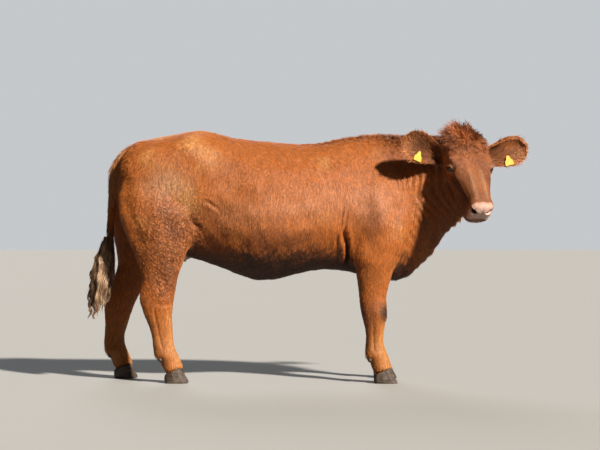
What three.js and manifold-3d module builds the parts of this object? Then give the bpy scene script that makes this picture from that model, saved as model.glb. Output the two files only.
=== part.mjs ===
// A polled red beef heifer at life size, standing square with its head turned to its right.
// Millimetres: +X runs towards the front of the animal, +Y to its left and +Z up.
// Every solid has the outline of the coat's tips, and neighbours keep a thin gap.
import * as THREE from 'three';
import { mergeVertices } from 'three/addons/utils/BufferGeometryUtils.js';
import Module from 'manifold-3d';

const wasm = await Module();
wasm.setup();

// ---- driving dimensions ----

const gap = 0.8;                     // what one piece is cut back by its neighbour
const withersHeight = 1308;
const hipHeight = 1321;
const backHeight = 1250;
const bellyHeight = 524;
const sternumHeight = 586;
const brisketHeight = 528;

const kneeHeight = 365;
const hockHeight = 455;
const fetlockHeight = 147;
const coronetHeight = 72;

const neckBendStart = 450;           // the neck is straight behind this X
const neckBendRadius = 580;

const faceTurn = 75;                 // degrees the face is turned to the right
const facePitch = 48;                // degrees the face slopes down from level
const pollPlace = [847, -190, 1298];

const eyeRadius = 21;
const earLength = 270;
const earHalfWidth = 80;
const earThickness = 9;

const clawLength = 124;
const clawHalfWidth = 29;
const clawSpacing = 32;              // middle of a claw from the middle of its foot

const tagWidth = 47;
const tagHeight = 52;
const tagThickness = 2.4;
const tagPinRadius = 3.2;

const colours = {
  coat: 0x9c4a1f, leg: 0x9a4c22, face: 0x96441f, tuft: 0xa04e24, tail: 0x7a3818, switch: 0xb08a62,
  horn: 0x4a3a30, eye: 0x15100d, tag: 0xe8c81e, udder: 0xc98a70,
};

// ---- building blocks ----

const mix = THREE.MathUtils.lerp;
const radians = THREE.MathUtils.degToRad;

// A closed body from rings of points, with a fan over each end.
function bodyFromRings(rings) {
  const around = rings[0].length;
  const middles = [rings[0], rings.at(-1)].map((ring) =>
    ring.reduce((sum, p) => sum.add(p), new THREE.Vector3()).divideScalar(around));
  const points = [...rings.flat(), ...middles];
  const faces = [];
  for (let r = 0; r + 1 < rings.length; r++) {
    for (let i = 0; i < around; i++) {
      const j = (i + 1) % around;
      const [a, b, c, d] = [r * around + i, r * around + j, (r + 1) * around + j, (r + 1) * around + i];
      faces.push(a, b, c, a, c, d);
    }
  }
  const last = (rings.length - 1) * around;
  const [firstMiddle, lastMiddle] = [rings.length * around, rings.length * around + 1];
  for (let i = 0; i < around; i++) {
    const j = (i + 1) % around;
    faces.push(firstMiddle, j, i, lastMiddle, last + i, last + j);
  }
  return solidOf(new THREE.BufferGeometry().setFromPoints(points).setIndex(faces));
}

// A three.js geometry as a solid, turned inside out if its faces point inwards.
function solidOf(geometry) {
  const bare = geometry.clone();
  bare.deleteAttribute('normal');
  bare.deleteAttribute('uv');
  const merged = mergeVertices(bare, 1e-3);
  const make = (triVerts) => new wasm.Manifold(new wasm.Mesh({
    numProp: 3, vertProperties: merged.attributes.position.array, triVerts }));
  const solid = make(new Uint32Array(merged.index.array));
  return solid.volume() > 0 ? solid : make(new Uint32Array(merged.index.array).reverse());
}

function geometryOf(solid) {
  const mesh = solid.getMesh();
  const points = new Float32Array(mesh.numVert * 3);
  for (let i = 0; i < mesh.numVert; i++) {
    points.set(mesh.vertProperties.subarray(i * mesh.numProp, i * mesh.numProp + 3), i * 3);
  }
  return new THREE.BufferGeometry()
    .setAttribute('position', new THREE.BufferAttribute(points, 3))
    .setIndex(new THREE.BufferAttribute(new Uint32Array(mesh.triVerts), 1));
}

// The solid with its skin moved outwards, used to cut a neighbour back.
function grown(solid, by = gap) {
  const geometry = geometryOf(solid);
  geometry.computeVertexNormals();
  const { position, normal } = geometry.attributes;
  const point = new THREE.Vector3();
  const out = new THREE.Vector3();
  for (let i = 0; i < position.count; i++) {
    point.fromBufferAttribute(position, i).addScaledVector(out.fromBufferAttribute(normal, i), by);
    position.setXYZ(i, point.x, point.y, point.z);
  }
  return solidOf(geometry);
}

const largest = (solid) => solid.decompose().sort((a, b) => b.volume() - a.volume())[0];
const cutBy = (solid, ...others) => others.reduce((left, other) => left.subtract(grown(other)), solid);
const joined = (solids) => solids.reduce((all, one) => all.add(one));

// Moves every vertex of a solid by a function of its place.
function reshaped(solid, move) {
  const geometry = geometryOf(solid);
  const { position } = geometry.attributes;
  for (let i = 0; i < position.count; i++) {
    const p = move(new THREE.Vector3().fromBufferAttribute(position, i));
    position.setXYZ(i, p.x, p.y, p.z);
  }
  return solidOf(geometry);
}

const placed = (solid, matrix) => reshaped(solid, (p) => p.applyMatrix4(matrix));
const mirrored = (solid) => reshaped(solid, (p) => p.set(p.x, -p.y, p.z));

// Bone and muscle forms: each pushes the surface near a point, the same on both sides.
function withForms(solid, forms) {
  return reshaped(solid, (p) => {
    const start = p.clone();
    for (const { at, reach, push } of forms) {
      for (const side of at[1] === 0 ? [1] : [1, -1]) {
        const away = start.distanceTo(new THREE.Vector3(at[0], side * at[1], at[2])) / reach;
        p.addScaledVector(new THREE.Vector3(push[0], side * push[1], push[2]), Math.exp(-away * away));
      }
    }
    return p;
  });
}

// A lofted body. Each section stands on a chord in the side view, from `low` to `high`, and is `half`
// wide to either side of `middle`, `widest` of the way up. `square` is 2 for an ellipse and more for a
// fuller corner, first for the low end and then for the high end.
function loft(sections, around, ringCount) {
  const curve = (pick) =>
    new THREE.CatmullRomCurve3(sections.map((s) => new THREE.Vector3(...pick(s))), false, 'catmullrom', 0.5);
  const lows = curve(({ low, middle = 0 }) => [low[0], middle, low[1]]);
  const highs = curve(({ high, half }) => [high[0], half, high[1]]);
  const shapes = curve(({ widest = 0.5, square = [2, 2] }) => [widest, ...square]);
  const rings = [];
  for (let r = 0; r <= ringCount; r++) {
    const t = r / ringCount;
    const [low, high, shape] = [lows.getPoint(t), highs.getPoint(t), shapes.getPoint(t)];
    const half = Math.max(high.y, 0.5);
    const ring = [];
    for (let i = 0; i < around; i++) {
      const angle = (2 * Math.PI * i) / around;
      const [across, up] = [Math.cos(angle), Math.sin(angle)];
      const power = 2 / (up < 0 ? shape.y : shape.z);
      const rise = (up < 0 ? shape.x : 1 - shape.x) * Math.sign(up) * Math.abs(up) ** power;
      const along = shape.x + rise;
      const out = Math.sign(across) * Math.abs(across) ** power;
      ring.push(new THREE.Vector3(mix(low.x, high.x, along), low.y + half * out, mix(low.z, high.z, along)));
    }
    rings.push(ring);
  }
  return bodyFromRings(rings);
}

// Everything on the side of a plane that its normal points to, from `start` past the plane.
function halfSpace({ point, normal }, start = gap / 2) {
  const size = 5000;
  const box = new THREE.BoxGeometry(size, size, size).translate(0, 0, size / 2 + start);
  const turn = new THREE.Quaternion().setFromUnitVectors(
    new THREE.Vector3(0, 0, 1), new THREE.Vector3(...normal).normalize());
  box.applyQuaternion(turn).translate(...point);
  return solidOf(box);
}

// ---- trunk and neck ----

const torsoSections = [
  { low: [-966, 985], high: [-969, 1045], half: 20 },                                        // buttocks
  { low: [-942, 895], high: [-950, 1130], half: 108, widest: 0.5, square: [2, 2.2] },
  { low: [-902, 820], high: [-916, 1208], half: 168, widest: 0.5, square: [2, 2.2] },
  { low: [-850, 780], high: [-872, 1256], half: 205, widest: 0.52, square: [2, 2.3] },       // tail head
  { low: [-780, 745], high: [-790, 1276], half: 236, widest: 0.6, square: [2, 2.3] },
  { low: [-690, 700], high: [-690, 1292], half: 250, widest: 0.66, square: [2, 2.4] },
  { low: [-610, 655], high: [-600, 1308], half: 256, widest: 0.7, square: [2, 2.5] },
  { low: [-540, 635], high: [-530, hipHeight], half: 256, widest: 0.68, square: [2, 2.5] },  // hips
  { low: [-455, 608], high: [-450, 1306], half: 256, widest: 0.6, square: [2.1, 2.5] },
  { low: [-350, 568], high: [-355, 1280], half: 274, widest: 0.5, square: [2.2, 2.4] },      // loin
  { low: [-215, bellyHeight], high: [-220, 1266], half: 300, widest: 0.46, square: [2.2, 2.3] },
  { low: [-95, 540], high: [-80, 1252], half: 305, widest: 0.46, square: [2.2, 2.2] },       // barrel
  { low: [30, 574], high: [60, backHeight], half: 294, widest: 0.47, square: [2.2, 2.1] },
  { low: [140, sternumHeight], high: [180, 1276], half: 270, widest: 0.48, square: [2.2, 2] },
  { low: [250, 574], high: [280, 1293], half: 248, widest: 0.46, square: [2.1, 1.9] },       // girth
  { low: [355, 550], high: [370, withersHeight], half: 236, widest: 0.42, square: [2, 1.8] },
  { low: [455, brisketHeight], high: [455, withersHeight], half: 226, widest: 0.38, square: [1.9, 1.8] },
  { low: [548, 532], high: [535, 1304], half: 204, widest: 0.38, square: [1.8, 1.8] },       // brisket
  { low: [628, 600], high: [615, 1300], half: 172, widest: 0.42, square: [1.7, 1.9] },
  { low: [698, 662], high: [700, 1296], half: 144, widest: 0.5, square: [1.7, 2] },
  { low: [755, 740], high: [775, 1292], half: 124, widest: 0.58, square: [1.6, 2] },
  { low: [812, 796], high: [835, 1284], half: 112, widest: 0.62, square: [1.45, 2] },        // throat
  { low: [880, 836], high: [885, 1262], half: 98, widest: 0.64, square: [1.45, 2] },
  { low: [912, 905], high: [915, 1225], half: 72, widest: 0.6 },
];

const torsoForms = [
  { at: [-535, 222, 1222], reach: 62, push: [0, 16, 10] },     // hook bones
  { at: [-420, 262, 1085], reach: 85, push: [0, -16, 0] },     // hollow flanks
  { at: [-905, 105, 1120], reach: 55, push: [-12, 10, 0] },    // pin bones
  { at: [-130, 300, 760], reach: 190, push: [0, 14, 0] },      // barrel
  { at: [470, 200, 1010], reach: 90, push: [0, -12, 0] },      // neck ahead of the shoulder blade
];

// Straight neck to turned neck: past the start of the bend, X runs round an arc to the right.
function bendNeck(p) {
  if (p.x <= neckBendStart) return p;
  const angle = (p.x - neckBendStart) / neckBendRadius;
  const radius = neckBendRadius + p.y;
  return p.set(neckBendStart + radius * Math.sin(angle), radius * Math.cos(angle) - neckBendRadius, p.z);
}

function makeTorso() {
  return reshaped(withForms(loft(torsoSections, 20, 28), torsoForms), bendNeck);
}

// ---- legs ----

// Upper sections lie inside the trunk, where they make the shoulder and the thigh.
const foreSections = [
  { low: [310, 1150], high: [410, 1160], half: 22, middle: 108 },                            // blade
  { low: [270, 1060], high: [480, 1075], half: 60, middle: 142, square: [1.8, 1.8] },
  { low: [250, 930], high: [540, 945], half: 84, middle: 160, widest: 0.52, square: [1.8, 1.8] },
  { low: [242, 800], high: [560, 800], half: 92, middle: 168, widest: 0.55, square: [1.9, 2] }, // shoulder point
  { low: [250, 700], high: [536, 690], half: 86, middle: 168, square: [2, 2] },
  { low: [275, 625], high: [508, 620], half: 76, middle: 168, square: [2, 2] },              // elbow
  { low: [293, 560], high: [481, 556], half: 66, middle: 167, widest: 0.55 },
  { low: [302, 480], high: [458, 480], half: 58, middle: 166, widest: 0.55 },                // forearm
  { low: [307, 415], high: [449, 418], half: 54, middle: 165 },
  { low: [312, kneeHeight], high: [460, kneeHeight], half: 58, middle: 165, widest: 0.6, square: [2.3, 2.4] },
  { low: [328, 310], high: [446, 308], half: 49, middle: 165, widest: 0.6 },
  { low: [339, 250], high: [436, 250], half: 41, middle: 165, widest: 0.6 },                 // cannon
  { low: [340, 195], high: [438, 195], half: 42, middle: 165, widest: 0.55 },
  { low: [332, fetlockHeight], high: [452, 150], half: 52, middle: 165 },
  { low: [362, 104], high: [464, 116], half: 49, middle: 165 },                              // pastern
  { low: [380, 60], high: [478, 86], half: 57, middle: 165 },
  { low: [396, 42], high: [462, 64], half: 38, middle: 165 },
];

const hindSections = [
  { low: [-800, 1150], high: [-620, 1165], half: 40, middle: 120 },                          // croup
  { low: [-900, 1085], high: [-560, 1080], half: 84, middle: 140, square: [1.9, 1.9] },
  { low: [-960, 975], high: [-515, 965], half: 100, middle: 152, square: [1.8, 1.9] },       // thigh
  { low: [-950, 860], high: [-512, 850], half: 112, middle: 156, square: [1.8, 2] },
  { low: [-908, 755], high: [-546, 745], half: 100, middle: 158 },                           // stifle
  { low: [-866, 660], high: [-592, 655], half: 80, middle: 158, widest: 0.55 },
  { low: [-830, 580], high: [-622, 575], half: 63, middle: 157, widest: 0.6 },               // gaskin
  { low: [-830, 515], high: [-639, 505], half: 53, middle: 157, widest: 0.6 },
  { low: [-846, hockHeight + 6], high: [-651, 435], half: 53, middle: 157, widest: 0.66, square: [1.7, 2.2] },
  { low: [-830, 385], high: [-661, 375], half: 49, middle: 157, widest: 0.6 },               // hock
  { low: [-798, 315], high: [-658, 305], half: 41, middle: 157, widest: 0.55 },
  { low: [-776, 250], high: [-656, 245], half: 38, middle: 157, widest: 0.55 },              // cannon
  { low: [-768, 195], high: [-652, 195], half: 41, middle: 158 },
  { low: [-764, fetlockHeight], high: [-633, 152], half: 50, middle: 158 },
  { low: [-726, 104], high: [-618, 116], half: 47, middle: 158 },                            // pastern
  { low: [-704, 60], high: [-604, 86], half: 56, middle: 158 },
  { low: [-688, 42], high: [-620, 64], half: 38, middle: 158 },
];

// How far back each height of the left hind leg stands behind the right one.
const leftHindStep = [[1200, 0], [975, -34], [860, -70], [755, -102], [660, -126], [575, -160], [505, -190],
  [440, -216], [370, -236], [300, -260], [245, -282], [195, -290], [147, -294], [0, -296]];
const leftForeStep = [[1200, 0], [700, 0], [400, 10], [0, 14]];

function stepAt(step, z) {
  const next = step.findIndex(([height]) => height <= z);
  if (next <= 0) return step[0][1];
  const [[z0, x0], [z1, x1]] = [step[next - 1], step[next]];
  return mix(x0, x1, (z0 - z) / (z0 - z1));
}

const stepped = (sections, step) => sections.map((s) => ({ ...s,
  low: [s.low[0] + stepAt(step, s.low[1]), s.low[1]],
  high: [s.high[0] + stepAt(step, s.high[1]), s.high[1]] }));

const foreCut = { point: [385, 0, 640], normal: [0.1, 0, -1] };
const hindCut = { point: [-720, 0, 700], normal: [0.35, 0, -1] };

// One claw of a foot, standing on a flat sole, with its toe towards +X.
function makeClaw() {
  const heel = -clawLength * 0.44;
  const toe = clawLength * 0.56;
  const sections = [
    { low: [heel, 0], high: [toe, 0], half: clawHalfWidth, widest: 0.42, square: [2.4, 2] },
    { low: [heel - 3, 10], high: [toe - 5, 12], half: clawHalfWidth + 1, widest: 0.42, square: [2.4, 2] },
    { low: [heel - 4, 28], high: [toe - 22, 42], half: clawHalfWidth, widest: 0.44, square: [2.3, 2] },
    { low: [heel, 46], high: [toe - 36, coronetHeight + 7], half: clawHalfWidth - 2, widest: 0.46 },
    { low: [heel + 14, 50], high: [toe - 50, coronetHeight + 8], half: clawHalfWidth - 12, widest: 0.46 },
  ];
  return loft(sections, 9, 4);
}

// A dewclaw: a blunt cone that points down and back.
function makeDewclaw() {
  const outline = [[0, -12], [14, -9], [14, 8], [5, 24], [0, 26]].map((p) => new THREE.Vector2(...p));
  return placed(solidOf(new THREE.LatheGeometry(outline, 6)),
    new THREE.Matrix4().makeRotationY(radians(-145)));
}

// A leg below its cut, with its hooves. `side` is 1 for the left and -1 for the right.
function makeLeg(name, sections, cut, side, footX) {
  const whole = loft(sections, 10, 17);
  const spread = sections.at(-2).middle;
  const foot = {};
  for (const [place, across] of [['inner', -1], ['outer', 1]]) {
    const splay = new THREE.Matrix4().makeRotationZ(radians(3 * across))
      .setPosition(footX, spread + across * clawSpacing, 0);
    foot[`${name}_hoof_${place}`] = placed(makeClaw(), splay);
    foot[`${name}_dewclaw_${place}`] = placed(makeDewclaw(),
      new THREE.Matrix4().setPosition(footX - 78, spread + across * 24, fetlockHeight - 26));
  }
  const shank = largest(cutBy(whole.intersect(halfSpace(cut)), ...Object.values(foot)));
  const room = grown(whole).intersect(halfSpace(cut, -gap / 2));
  const turn = side > 0 ? (solid) => solid : mirrored;
  return {
    name,
    whole: turn(whole),
    shank: turn(shank),
    room: turn(room),
    foot: Object.fromEntries(Object.entries(foot).map(([n, solid]) => [n, turn(solid)])),
  };
}

const legs = [
  makeLeg('right_foreleg', foreSections, foreCut, -1, 440),
  makeLeg('left_foreleg', stepped(foreSections, leftForeStep), foreCut, 1, 454),
  makeLeg('right_hindleg', hindSections, hindCut, -1, -646),
  makeLeg('left_hindleg', stepped(hindSections, leftHindStep), hindCut, 1, -942),
];

// ---- head, modelled along +X from the poll to the nose, with the forehead up ----

const headPlace = new THREE.Matrix4()
  .makeTranslation(...pollPlace)
  .multiply(new THREE.Matrix4().makeRotationZ(radians(-faceTurn)))
  .multiply(new THREE.Matrix4().makeRotationY(radians(facePitch)));

const headSections = [
  { low: [-30, -118], high: [-26, -58], half: 34 },                                             // nape
  { low: [-18, -166], high: [-14, -18], half: 74, widest: 0.66, square: [2, 2.2] },             // poll
  { low: [16, -206], high: [12, 2], half: 102, widest: 0.72, square: [1.9, 2.5] },
  { low: [58, -234], high: [55, 12], half: 114, widest: 0.75, square: [1.8, 2.7] },             // forehead
  { low: [104, -246], high: [102, 15], half: 114, widest: 0.75, square: [1.8, 2.8] },           // jaw angle
  { low: [150, -242], high: [150, 12], half: 112, widest: 0.75, square: [1.8, 2.8] },
  { low: [195, -228], high: [195, 5], half: 114, widest: 0.74, square: [1.8, 2.7] },            // eyes
  { low: [238, -210], high: [242, -4], half: 108, widest: 0.67, square: [1.9, 2.5] },
  { low: [282, -193], high: [290, -10], half: 97, widest: 0.6, square: [1.9, 2.4] },            // bridge
  { low: [325, -180], high: [336, -14], half: 84, widest: 0.56, square: [2, 2.4] },
  { low: [362, -179], high: [378, -18], half: 75, widest: 0.54, square: [2.1, 2.4] },
  { low: [396, -188], high: [414, -20], half: 69, widest: 0.5, square: [2.9, 2.6] },           // muzzle
  { low: [426, -198], high: [446, -24], half: 68, widest: 0.5, square: [3.4, 2.8] },
  { low: [452, -195], high: [472, -36], half: 66, widest: 0.5, square: [3.3, 2.8] },
  { low: [469, -177], high: [485, -58], half: 56, widest: 0.5, square: [2.8, 2.5] },            // nose
  { low: [479, -146], high: [488, -78], half: 31 },
];

const headForms = [
  { at: [178, 104, -20], reach: 32, push: [0, 11, 9] },       // brows
  { at: [236, 88, -78], reach: 30, push: [0, -5, 0] },        // hollow below the eye
  { at: [128, 72, -165], reach: 60, push: [0, 16, 0] },       // cheeks
  { at: [285, 80, -92], reach: 34, push: [0, 5, 0] },         // facial crest
  { at: [458, 52, -54], reach: 22, push: [2, 5, 5] },         // wings of the nose
  { at: [392, 62, -136], reach: 24, push: [0, 6, 0] },        // corner of the mouth
  { at: [440, 0, -200], reach: 28, push: [2, 0, -3] },        // chin
  { at: [0, 0, 6], reach: 40, push: [-8, 0, 8] },             // knob of the poll
];

const eyePlace = [200, 104, -54];
const nostrilPlace = [476, 46, -81];
const mouthLine = { from: 374, to: 504, level: -152, height: 3, depth: 12 };

function makeNostril() {
  const cup = new THREE.SphereGeometry(1, 8, 6).scale(20, 12, 15);
  cup.rotateX(radians(38)).rotateY(radians(20)).translate(...nostrilPlace);
  return solidOf(cup);
}

// The closed lips: a thin slot round the front of the muzzle.
function makeMouthSlot() {
  const { from, to, level, height, depth } = mouthLine;
  const slot = solidOf(new THREE.BoxGeometry(to - from, 200, height).translate((from + to) / 2, 0, level));
  const inside = [
    { low: [from - 60, -180], high: [from - 60, -40], half: 74 - depth },
    { low: [from + 40, -180], high: [from + 40, -40], half: 69 - depth, square: [2.8, 2.4] },
    { low: [452, -168], high: [452, -50], half: 64 - depth, square: [2.8, 2.4] },
    { low: [466, -156], high: [470, -84], half: 36 },
  ];
  return slot.subtract(loft(inside, 12, 5));
}

function makeHead() {
  const nostril = makeNostril();
  const eye = solidOf(new THREE.SphereGeometry(eyeRadius, 11, 7).translate(...eyePlace));
  const skull = withForms(loft(headSections, 20, 22), headForms);
  const hollows = joined([nostril, mirrored(nostril), makeMouthSlot()]);
  const head = largest(cutBy(skull.subtract(hollows), eye, mirrored(eye)));
  return { skull, head, eyes: { left: eye, right: mirrored(eye) } };
}

// ---- ears, modelled along +X from root to tip, open towards +Z ----

const earRoot = [92, 96, -102];
const earPoses = {                   // degrees that the tips are above and ahead of the roots
  left: { lift: 15, forwards: 4 },
  right: { lift: 21, forwards: 12 },
};
const earDroop = 10;                 // degrees the opening is turned down

// The ear's cup `t` of the way to the tip: part of a circle about a line `hollow` above its edges.
function earShape(t) {
  const fullness = 0.44 + 0.56 * Math.sin((Math.PI / 2) * Math.min(1, t / 0.7) ** 1.3);
  const half = Math.max(earHalfWidth * fullness * Math.sqrt(1 - t ** 6), 8);
  const wrap = radians(mix(118, 34, Math.min(1, t * 2)));
  const within = Math.min(wrap, Math.PI / 2);
  const radius = half / Math.sin(within);
  return { wrap, radius, hollow: radius * Math.cos(within), thick: earThickness * mix(1.5, 0.7, t) };
}

function makeEar() {
  const [arcPoints, ringCount] = [6, 9];
  const rings = [];
  for (let r = 0; r <= ringCount; r++) {
    const { wrap, radius, hollow, thick } = earShape(r / ringCount);
    const arc = (distance, turn) => new THREE.Vector3((r / ringCount) * earLength,
      distance * Math.sin(turn * wrap), hollow - distance * Math.cos(turn * wrap));
    const outer = [];
    const inner = [];
    for (let i = 0; i <= arcPoints; i++) {
      const turn = mix(-1, 1, i / arcPoints);
      const rim = thick * mix(1, 0.45, Math.abs(turn) ** 3) / 2;
      outer.push(arc(radius + rim, turn));
      inner.unshift(arc(Math.max(radius - rim, 1), turn));
    }
    rings.push([...outer, ...inner]);
  }
  return bodyFromCrescents(rings, arcPoints + 1);
}

// A closed body from crescent rings: each end is closed from the outer arc to the inner one.
function bodyFromCrescents(rings, arc) {
  const around = 2 * arc;
  const faces = [];
  for (let r = 0; r + 1 < rings.length; r++) {
    for (let i = 0; i < around; i++) {
      const j = (i + 1) % around;
      const [a, b, c, d] = [r * around + i, r * around + j, (r + 1) * around + j, (r + 1) * around + i];
      faces.push(a, b, c, a, c, d);
    }
  }
  const last = (rings.length - 1) * around;
  for (let i = 0; i + 1 < arc; i++) {
    const [a, b, c, d] = [i, i + 1, around - 2 - i, around - 1 - i];
    faces.push(a, d, c, a, c, b);
    faces.push(last + a, last + b, last + c, last + a, last + c, last + d);
  }
  return solidOf(new THREE.BufferGeometry().setFromPoints(rings.flat()).setIndex(faces));
}

// From the ear's own frame to the head's, on the left: it runs to the left and opens to the front,
// however far the face slopes.
const earPlace = ({ lift, forwards }) => new THREE.Matrix4()
  .makeTranslation(...earRoot)
  .multiply(new THREE.Matrix4().makeRotationY(radians(-facePitch)))
  .multiply(new THREE.Matrix4().makeBasis(
    new THREE.Vector3(0, 1, 0), new THREE.Vector3(0, 0, 1), new THREE.Vector3(1, 0, 0)))
  .multiply(new THREE.Matrix4().makeRotationFromEuler(
    new THREE.Euler(radians(earDroop), radians(-forwards), radians(lift), 'ZYX')));

const tagAlong = 0.56;               // share of the ear's length
const tagTurn = -14;                 // degrees round the cup
const tagStandOff = 18;              // middle of the ear's thickness to the back of the flag

// A flag tag in front of the ear, with its pin, and the round button behind it. The pin is at the origin.
function makeTag() {
  const [w, h, neckWidth] = [tagWidth / 2, tagHeight - 9, 9];
  const flag = new THREE.Shape();
  flag.moveTo(-w + 4, -h);
  flag.lineTo(w - 4, -h);
  flag.quadraticCurveTo(w, -h, w, -h + 4);
  flag.lineTo(w * 0.9, -h * 0.45);
  flag.quadraticCurveTo(w * 0.5, -h * 0.25, neckWidth, 0);
  flag.absarc(0, 0, neckWidth, 0, Math.PI, false);
  flag.quadraticCurveTo(-w * 0.5, -h * 0.25, -w * 0.9, -h * 0.45);
  flag.lineTo(-w, -h + 4);
  flag.quadraticCurveTo(-w, -h, -w + 4, -h);
  const panel = solidOf(new THREE.ExtrudeGeometry(flag,
    { depth: tagThickness, bevelEnabled: false, curveSegments: 3 }).translate(0, 0, tagStandOff));
  const pinLength = tagStandOff + 14;
  const pin = (radius) => solidOf(new THREE.CylinderGeometry(radius, radius, pinLength, 8)
    .rotateX(Math.PI / 2).translate(0, 0, tagStandOff + 1 - pinLength / 2));
  const button = solidOf(new THREE.CylinderGeometry(13, 11, 4, 12)
    .rotateX(Math.PI / 2).translate(0, 0, -13.5));
  return { flag: panel.add(pin(tagPinRadius)), hole: pin(tagPinRadius + 1), button };
}

// From the tag's own frame to the ear's.
function tagPlaceInEar() {
  const { radius, hollow } = earShape(tagAlong);
  return new THREE.Matrix4()
    .makeTranslation(tagAlong * earLength, 0, hollow)
    .multiply(new THREE.Matrix4().makeRotationX(radians(tagTurn)))
    .multiply(new THREE.Matrix4().makeTranslation(0, 0, -radius));
}

// ---- hair that stands out of the coat ----

// The curled mop on the poll, in the head's frame: a low cap with pointed locks fanned over it,
// which falls towards the animal's right.
function makePollTuft() {
  const outline = [[0, 0], [24, 10], [20, 36], [0, 66]].map((p) => new THREE.Vector2(...p));
  const lock = solidOf(new THREE.LatheGeometry(outline, 6));
  const cap = joined([[66, 108, 35, 22, 10, -6], [56, 46, 30, 64, 90, -26]].map(([a, b, c, ...at]) =>
    solidOf(new THREE.SphereGeometry(1, 10, 5).scale(a, b, c).translate(...at))));
  const locks = [];
  for (const { count, back, reach, lean } of [
    { count: 4, back: -2, reach: 52, lean: 50 }, { count: 5, back: 32, reach: 74, lean: 14 }]) {
    for (let i = 0; i < count; i++) {
      const across = mix(-1, 1, i / (count - 1));
      const size = mix(1.05, 0.72, (across + 1) / 2);
      locks.push(placed(lock, new THREE.Matrix4()
        .makeTranslation(back + 10 * across * across, across * reach - 6, 2 - 20 * across * across)
        .multiply(new THREE.Matrix4().makeRotationFromEuler(
          new THREE.Euler(radians(78 - across * 42), 0, radians(lean), 'XYZ')))
        .multiply(new THREE.Matrix4().makeScale(size, size, size))));
    }
  }
  return joined([cap, ...locks]);
}

// ---- tail ----

const tailSections = [
  { low: [-856, 1196], high: [-846, 1252], half: 28 },                                       // tail head
  { low: [-905, 1180], high: [-905, 1244], half: 32 },
  { low: [-934, 1146], high: [-974, 1176], half: 29 },
  { low: [-954, 1085], high: [-1011, 1098], half: 26 },
  { low: [-962, 1000], high: [-1016, 1006], half: 23 },
  { low: [-972, 900], high: [-1021, 902], half: 20 },
  { low: [-981, 800], high: [-1026, 800], half: 18 },                                        // dock
  { low: [-978, 710], high: [-1026, 710], half: 17 },
  { low: [-973, 620], high: [-1016, 620], half: 14 },
  { low: [-976, 550], high: [-1006, 550], half: 10 },
  { low: [-990, 505], high: [-1003, 505], half: 5 },
];

const switchSections = [
  { low: [-1007, 756], high: [-1033, 758], half: 10 },
  { low: [-999, 700], high: [-1060, 700], half: 24 },
  { low: [-992, 640], high: [-1088, 636], half: 34 },
  { low: [-984, 575], high: [-1106, 566], half: 40 },
  { low: [-988, 505], high: [-1112, 496], half: 38 },
  { low: [-1006, 436], high: [-1114, 424], half: 30 },
  { low: [-1036, 375], high: [-1112, 364], half: 19 },
  { low: [-1070, 326], high: [-1104, 322], half: 7 },
];

// ---- udder ----

function makeUdder() {
  const bag = solidOf(new THREE.SphereGeometry(1, 12, 7).scale(112, 76, 62).translate(-655, 0, 690));
  const teat = [[0, 0], [7, 2], [9, 20], [9, 44], [0, 44]].map((p) => new THREE.Vector2(...p));
  const teats = [];
  for (const x of [-606, -676]) {
    for (const y of [-34, 34]) {
      teats.push(solidOf(new THREE.LatheGeometry(teat, 6)
        .rotateX(Math.PI / 2).translate(x, y, 606)));
    }
  }
  return joined([bag, ...teats]);
}

// ---- putting it together ----

const material = (color, roughness = 0.75) => new THREE.MeshStandardMaterial({ color, roughness, metalness: 0 });
const animal = new THREE.Group();

function addPiece(name, solid, color, roughness) {
  const piece = new THREE.Mesh(geometryOf(largest(solid)), material(color, roughness));
  piece.name = name;
  animal.add(piece);
}

const { skull, head, eyes } = makeHead();
const headInBody = placed(head, headPlace);
const skullInBody = placed(skull, headPlace);
const torso = makeTorso();
const body = joined([torso, ...legs.map((leg) => leg.whole)]);
const neckCut = { point: [560, 0, 950], normal: [1, 0, 0.2] };
const behindNeck = { ...neckCut, normal: neckCut.normal.map((n) => -n) };
const trunk = largest(legs.reduce((left, leg) => left.subtract(leg.room), body.intersect(halfSpace(behindNeck))));
const neck = largest(cutBy(body.intersect(halfSpace(neckCut)), skullInBody));
addPiece('trunk', trunk, colours.coat);
addPiece('neck', neck, colours.coat);
addPiece('head', headInBody, colours.face);
for (const [side, eye] of Object.entries(eyes)) addPiece(`${side}_eye`, placed(eye, headPlace), colours.eye, 0.08);

for (const leg of legs) {
  addPiece(leg.name, leg.shank, colours.leg);
  for (const [name, solid] of Object.entries(leg.foot)) addPiece(name, solid, colours.horn, 0.45);
}

const tag = makeTag();
const tagPlace = tagPlaceInEar();
const tuft = cutBy(placed(makePollTuft(), headPlace), skullInBody, torso);
for (const [side, turn] of [['left', (s) => s], ['right', mirrored]]) {
  const inHead = (solid) => turn(placed(solid, earPlace(earPoses[side])));
  const inEar = (solid) => placed(solid, tagPlace);
  const holed = makeEar().subtract(inEar(tag.hole));
  const ear = cutBy(placed(cutBy(inHead(holed), skull), headPlace), torso, tuft);
  const flag = inEar(tag.flag);
  addPiece(`${side}_ear`, ear, colours.coat);
  addPiece(`${side}_tag_flag`, placed(inHead(flag), headPlace), colours.tag, 0.4);
  addPiece(`${side}_tag_button`, placed(inHead(cutBy(inEar(tag.button), flag)), headPlace), colours.tag, 0.4);
}
addPiece('poll_tuft', tuft, colours.tuft);

const tail = cutBy(loft(tailSections, 8, 14), torso);
addPiece('tail', tail, colours.tail);
addPiece('tail_switch', cutBy(loft(switchSections, 9, 8), tail), colours.switch);
addPiece('udder', cutBy(makeUdder(), torso, ...legs.map((leg) => leg.whole)), colours.udder);

// The origin is on the floor, under the middle of the whole animal's outline box.
const outline = new THREE.Box3().setFromObject(animal);
const centre = outline.getCenter(new THREE.Vector3());
animal.position.set(-centre.x, -centre.y, -outline.min.z);

export default animal;
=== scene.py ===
import math

import bmesh
import bpy
import numpy as np
from mathutils import Matrix, Vector
from mathutils.bvhtree import BVHTree
from mathutils.kdtree import KDTree


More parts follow.
